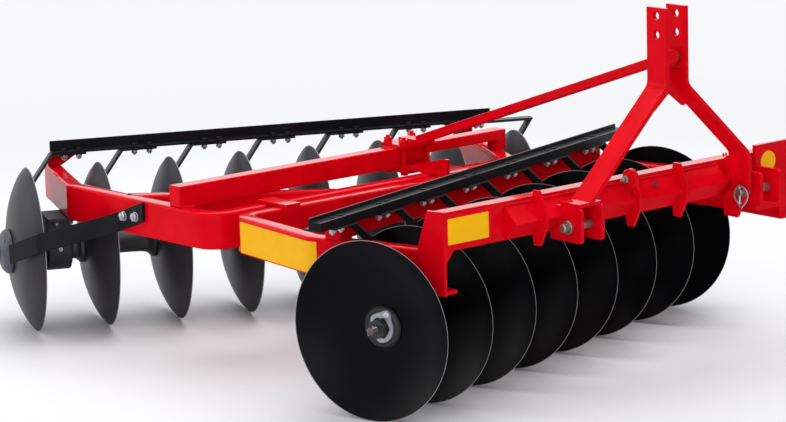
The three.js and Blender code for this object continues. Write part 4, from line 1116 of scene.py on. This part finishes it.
# %% Seal rings, nipples and foot nuts
seal_ring = [[0.0, 46.0], [0.0, 61.0], [1.2, 62.2], [3.0, 62.2], [4.2, 60.5], [4.2, 47.5], [3.0, 46.0]]
nipple = [[0.0, 1.0], [0.0, 7.0], [5.0, 7.0], [5.0, 4.5], [9.0, 4.5], [10.5, 2.6], [12.0, 2.6], [13.5, 3.6],
          [15.5, 3.0], [16.5, 1.0]]
rings, nipples, nuts = [], [], []
for gang in (front, rear):
    for middle in BEARINGS[gang.label]:
        for way in (-1.0, 1.0):
            face = gang.at(middle + way * 40.0, 0.0, AXLE_HEIGHT)
            rings.append(revolve(seal_ring, face, way * gang.along, steps=48, ring=True))
        nipples.append(revolve(nipple, gang.at(middle, -73.5, AXLE_HEIGHT + 8.0), -gang.back, steps=18))
        for dt in (-18.0, 18.0) if gang is front else (-10.0, 40.0):
            for dn in (-67.0, 67.0):
                nuts += bolt(gang.at(middle + dt, dn, 380.6), -UP, across=15.0, head=8.0, tip=5.0, washer=False)
build("bearing_seal_rings", rings, cast_black, "root", "black_paint")
bare("grease_nipples", nipples, zinc)
bare("bearing_foot_nuts", nuts, zinc)
print("bearing details ready")

# %% [markdown]
# ## Weld beads
# The frame is welded, and the enamel runs over the beads. They could be sculpted or left to a bump map, but a
# real bead shows in the outline of a joint. So a round section is carried along it; its size swells a little
# at every ripple and runs out at both ends.

# %% Beads along the joints
def bead(start, stop, radius=3.6, pitch=5.0):
    """A weld bead from start to stop: a round section times 1 + 0.12·sin(2π·s / pitch), thin at its ends."""
    start, stop = np.asarray(start, dtype=float), np.asarray(stop, dtype=float)
    length = np.linalg.norm(stop - start)
    s = np.linspace(0.0, length, max(8, int(length / pitch * 4.0)))
    swell = 1.0 + 0.12 * np.sin(2.0 * np.pi * s / pitch)
    swell *= np.clip(np.minimum(s, length - s) / (1.5 * radius), 0.25, 1.0) ** 0.5
    path = start + (s / length)[:, None] * (stop - start)
    heading = (stop - start) / length
    rise = UP if abs(heading[2]) < 0.9 else FORWARD
    turn = np.linspace(0.0, 2.0 * np.pi, 10, endpoint=False)
    return carried(path, radius * np.stack([np.cos(turn), np.sin(turn)], axis=1), rise=rise, swell=swell)


PLATE_FACE, BEAM_FACE, FRAME_SEAM = -141.5, -142.0, FRAME_TOP + 0.6
beads = []


def along_x(x0, x1, y, z, radius=3.6):
    """Adds a bead from x0 to x1 at one y and z."""
    beads.append(bead([x0, y, z], [x1, y, z], radius))


def upright(x, y, z0, z1, radius=3.6):
    """Adds a bead from z0 up to z1 at one x and y."""
    beads.append(bead([x, y, z0], [x, y, z1], radius))


for x in (617.0, 633.0, 703.0, 1403.0, 1419.0, 1489.0, 1505.0):
    upright(x, PLATE_FACE, 494.0, 597.0)
for x0, x1 in ((430.0, 540.0), (552.0, 939.0), (950.0, 1145.0), (1156.0, 1343.0)):
    along_x(x0, x1, BEAM_FACE, 622.5)
for x in (546.0, 944.0, 1150.0):
    for side in (-6.2, 6.2):
        beads.append(bead([x + side, -158.0, 611.0], [x + side, -192.0, 576.0], radius=3.0))
for t in BEARINGS["front"]:
    for n in (192.0, 254.0):
        beads.append(bead(front.at(t - 26.0, n, FRAME_SEAM), front.at(t + 26.0, n, FRAME_SEAM)))
for y in (1000.6, 1061.0):
    along_x(50.0, 104.0, y, 516.0)
beads.append(bead(np.append(brace_end + [-62.0, 1.0], 506.0), np.append(brace_end + [30.0, 1.0], 506.0)))
for x in (1374.0, 1386.0):
    upright(x, BEAM_FACE, 640.0, 655.0, radius=3.0)
along_x(190.0, 362.0, -139.5, 633.5, radius=3.2)
upright(366.5, -141.0, 524.0, 628.0, radius=3.2)
upright(1510.5, -141.0, 520.0, 634.0, radius=3.2)
along_x(972.0, 1088.0, 754.6, 516.6)
along_x(972.0, 1088.0, 973.4, 517.0, radius=3.0)
along_x(277.0, 333.0, 887.0, 516.4)
build("weld_beads", beads, red_enamel, "root", "red_paint")
print("beads:", len(beads))

# %% [markdown]
# ## Blank yellow panels
# The machine carries yellow vinyl panels: a long one that follows the bend of the front frame's right side,
# one on the hitch bracket and a round one at the hitch's left end. They stay blank. A Shrinkwrap could lay
# the long one on the tube, but the tube's own plan line is known, so a thin section is carried along it and
# bends with the tube. The flat ones are outlines with a slightly drawn-in face.

# %% Panels
PANEL_FROM, PANEL_TO, PANEL_MIDDLE, PANEL_HEIGHT = 312.0, 742.0, 452.0, 100.0
plan = bent(front_line[:4], BEND, steps=40)
distance = np.concatenate([[0.0], np.cumsum(np.linalg.norm(np.diff(plan, axis=0), axis=1))])
fine_distance = np.linspace(0.0, distance[-1], 700)
fine_plan = np.stack([np.interp(fine_distance, distance, plan[:, k]) for k in (0, 1)], axis=1)
heading = np.gradient(fine_plan, axis=0)
heading /= np.linalg.norm(heading, axis=1, keepdims=True)
inward = np.stack([heading[:, 1], -heading[:, 0]], axis=1)
face = fine_plan - (TUBE_WIDTH / 2.0 + 0.55) * inward
kept = face[(face[:, 1] > PANEL_FROM) & (face[:, 1] < PANEL_TO) & (face[:, 0] < 110.0)]
path = np.concatenate([kept, np.full((len(kept), 1), PANEL_MIDDLE)], axis=1)
thin = np.array([[0.35, 0.5], [-0.35, 0.5], [-0.35, -0.5], [0.35, -0.5]]) * [1.0, PANEL_HEIGHT]
build("long_blank_panel", [carried(path, thin)], vinyl, "root", None)
plate_levels = [(0.1, 0.0), (0.7, 0.0), (0.9, 0.25)]
turn = np.linspace(0.0, 2.0 * np.pi, 56, endpoint=False)
round_outline = 34.0 * np.stack([np.cos(turn), np.sin(turn)], axis=1)
for name, outline, place in (
    ("bracket_blank_panel", rounded(164.0, 80.0, 3.0), [268.0, -152.3, 578.0]),
    ("round_blank_panel", round_outline, [1570.0, -152.0, 601.0]),
):
    build(name, [stepped(outline, place, -RIGHTWARD, UP, plate_levels)], vinyl, "root", None)
print("panels ready")

# %% Pieces whose bounds are not numbers
for piece in made:
    if any(math.isnan(value) for corner_place in piece.bound_box for value in corner_place):
        print("bad mesh:", piece.name)
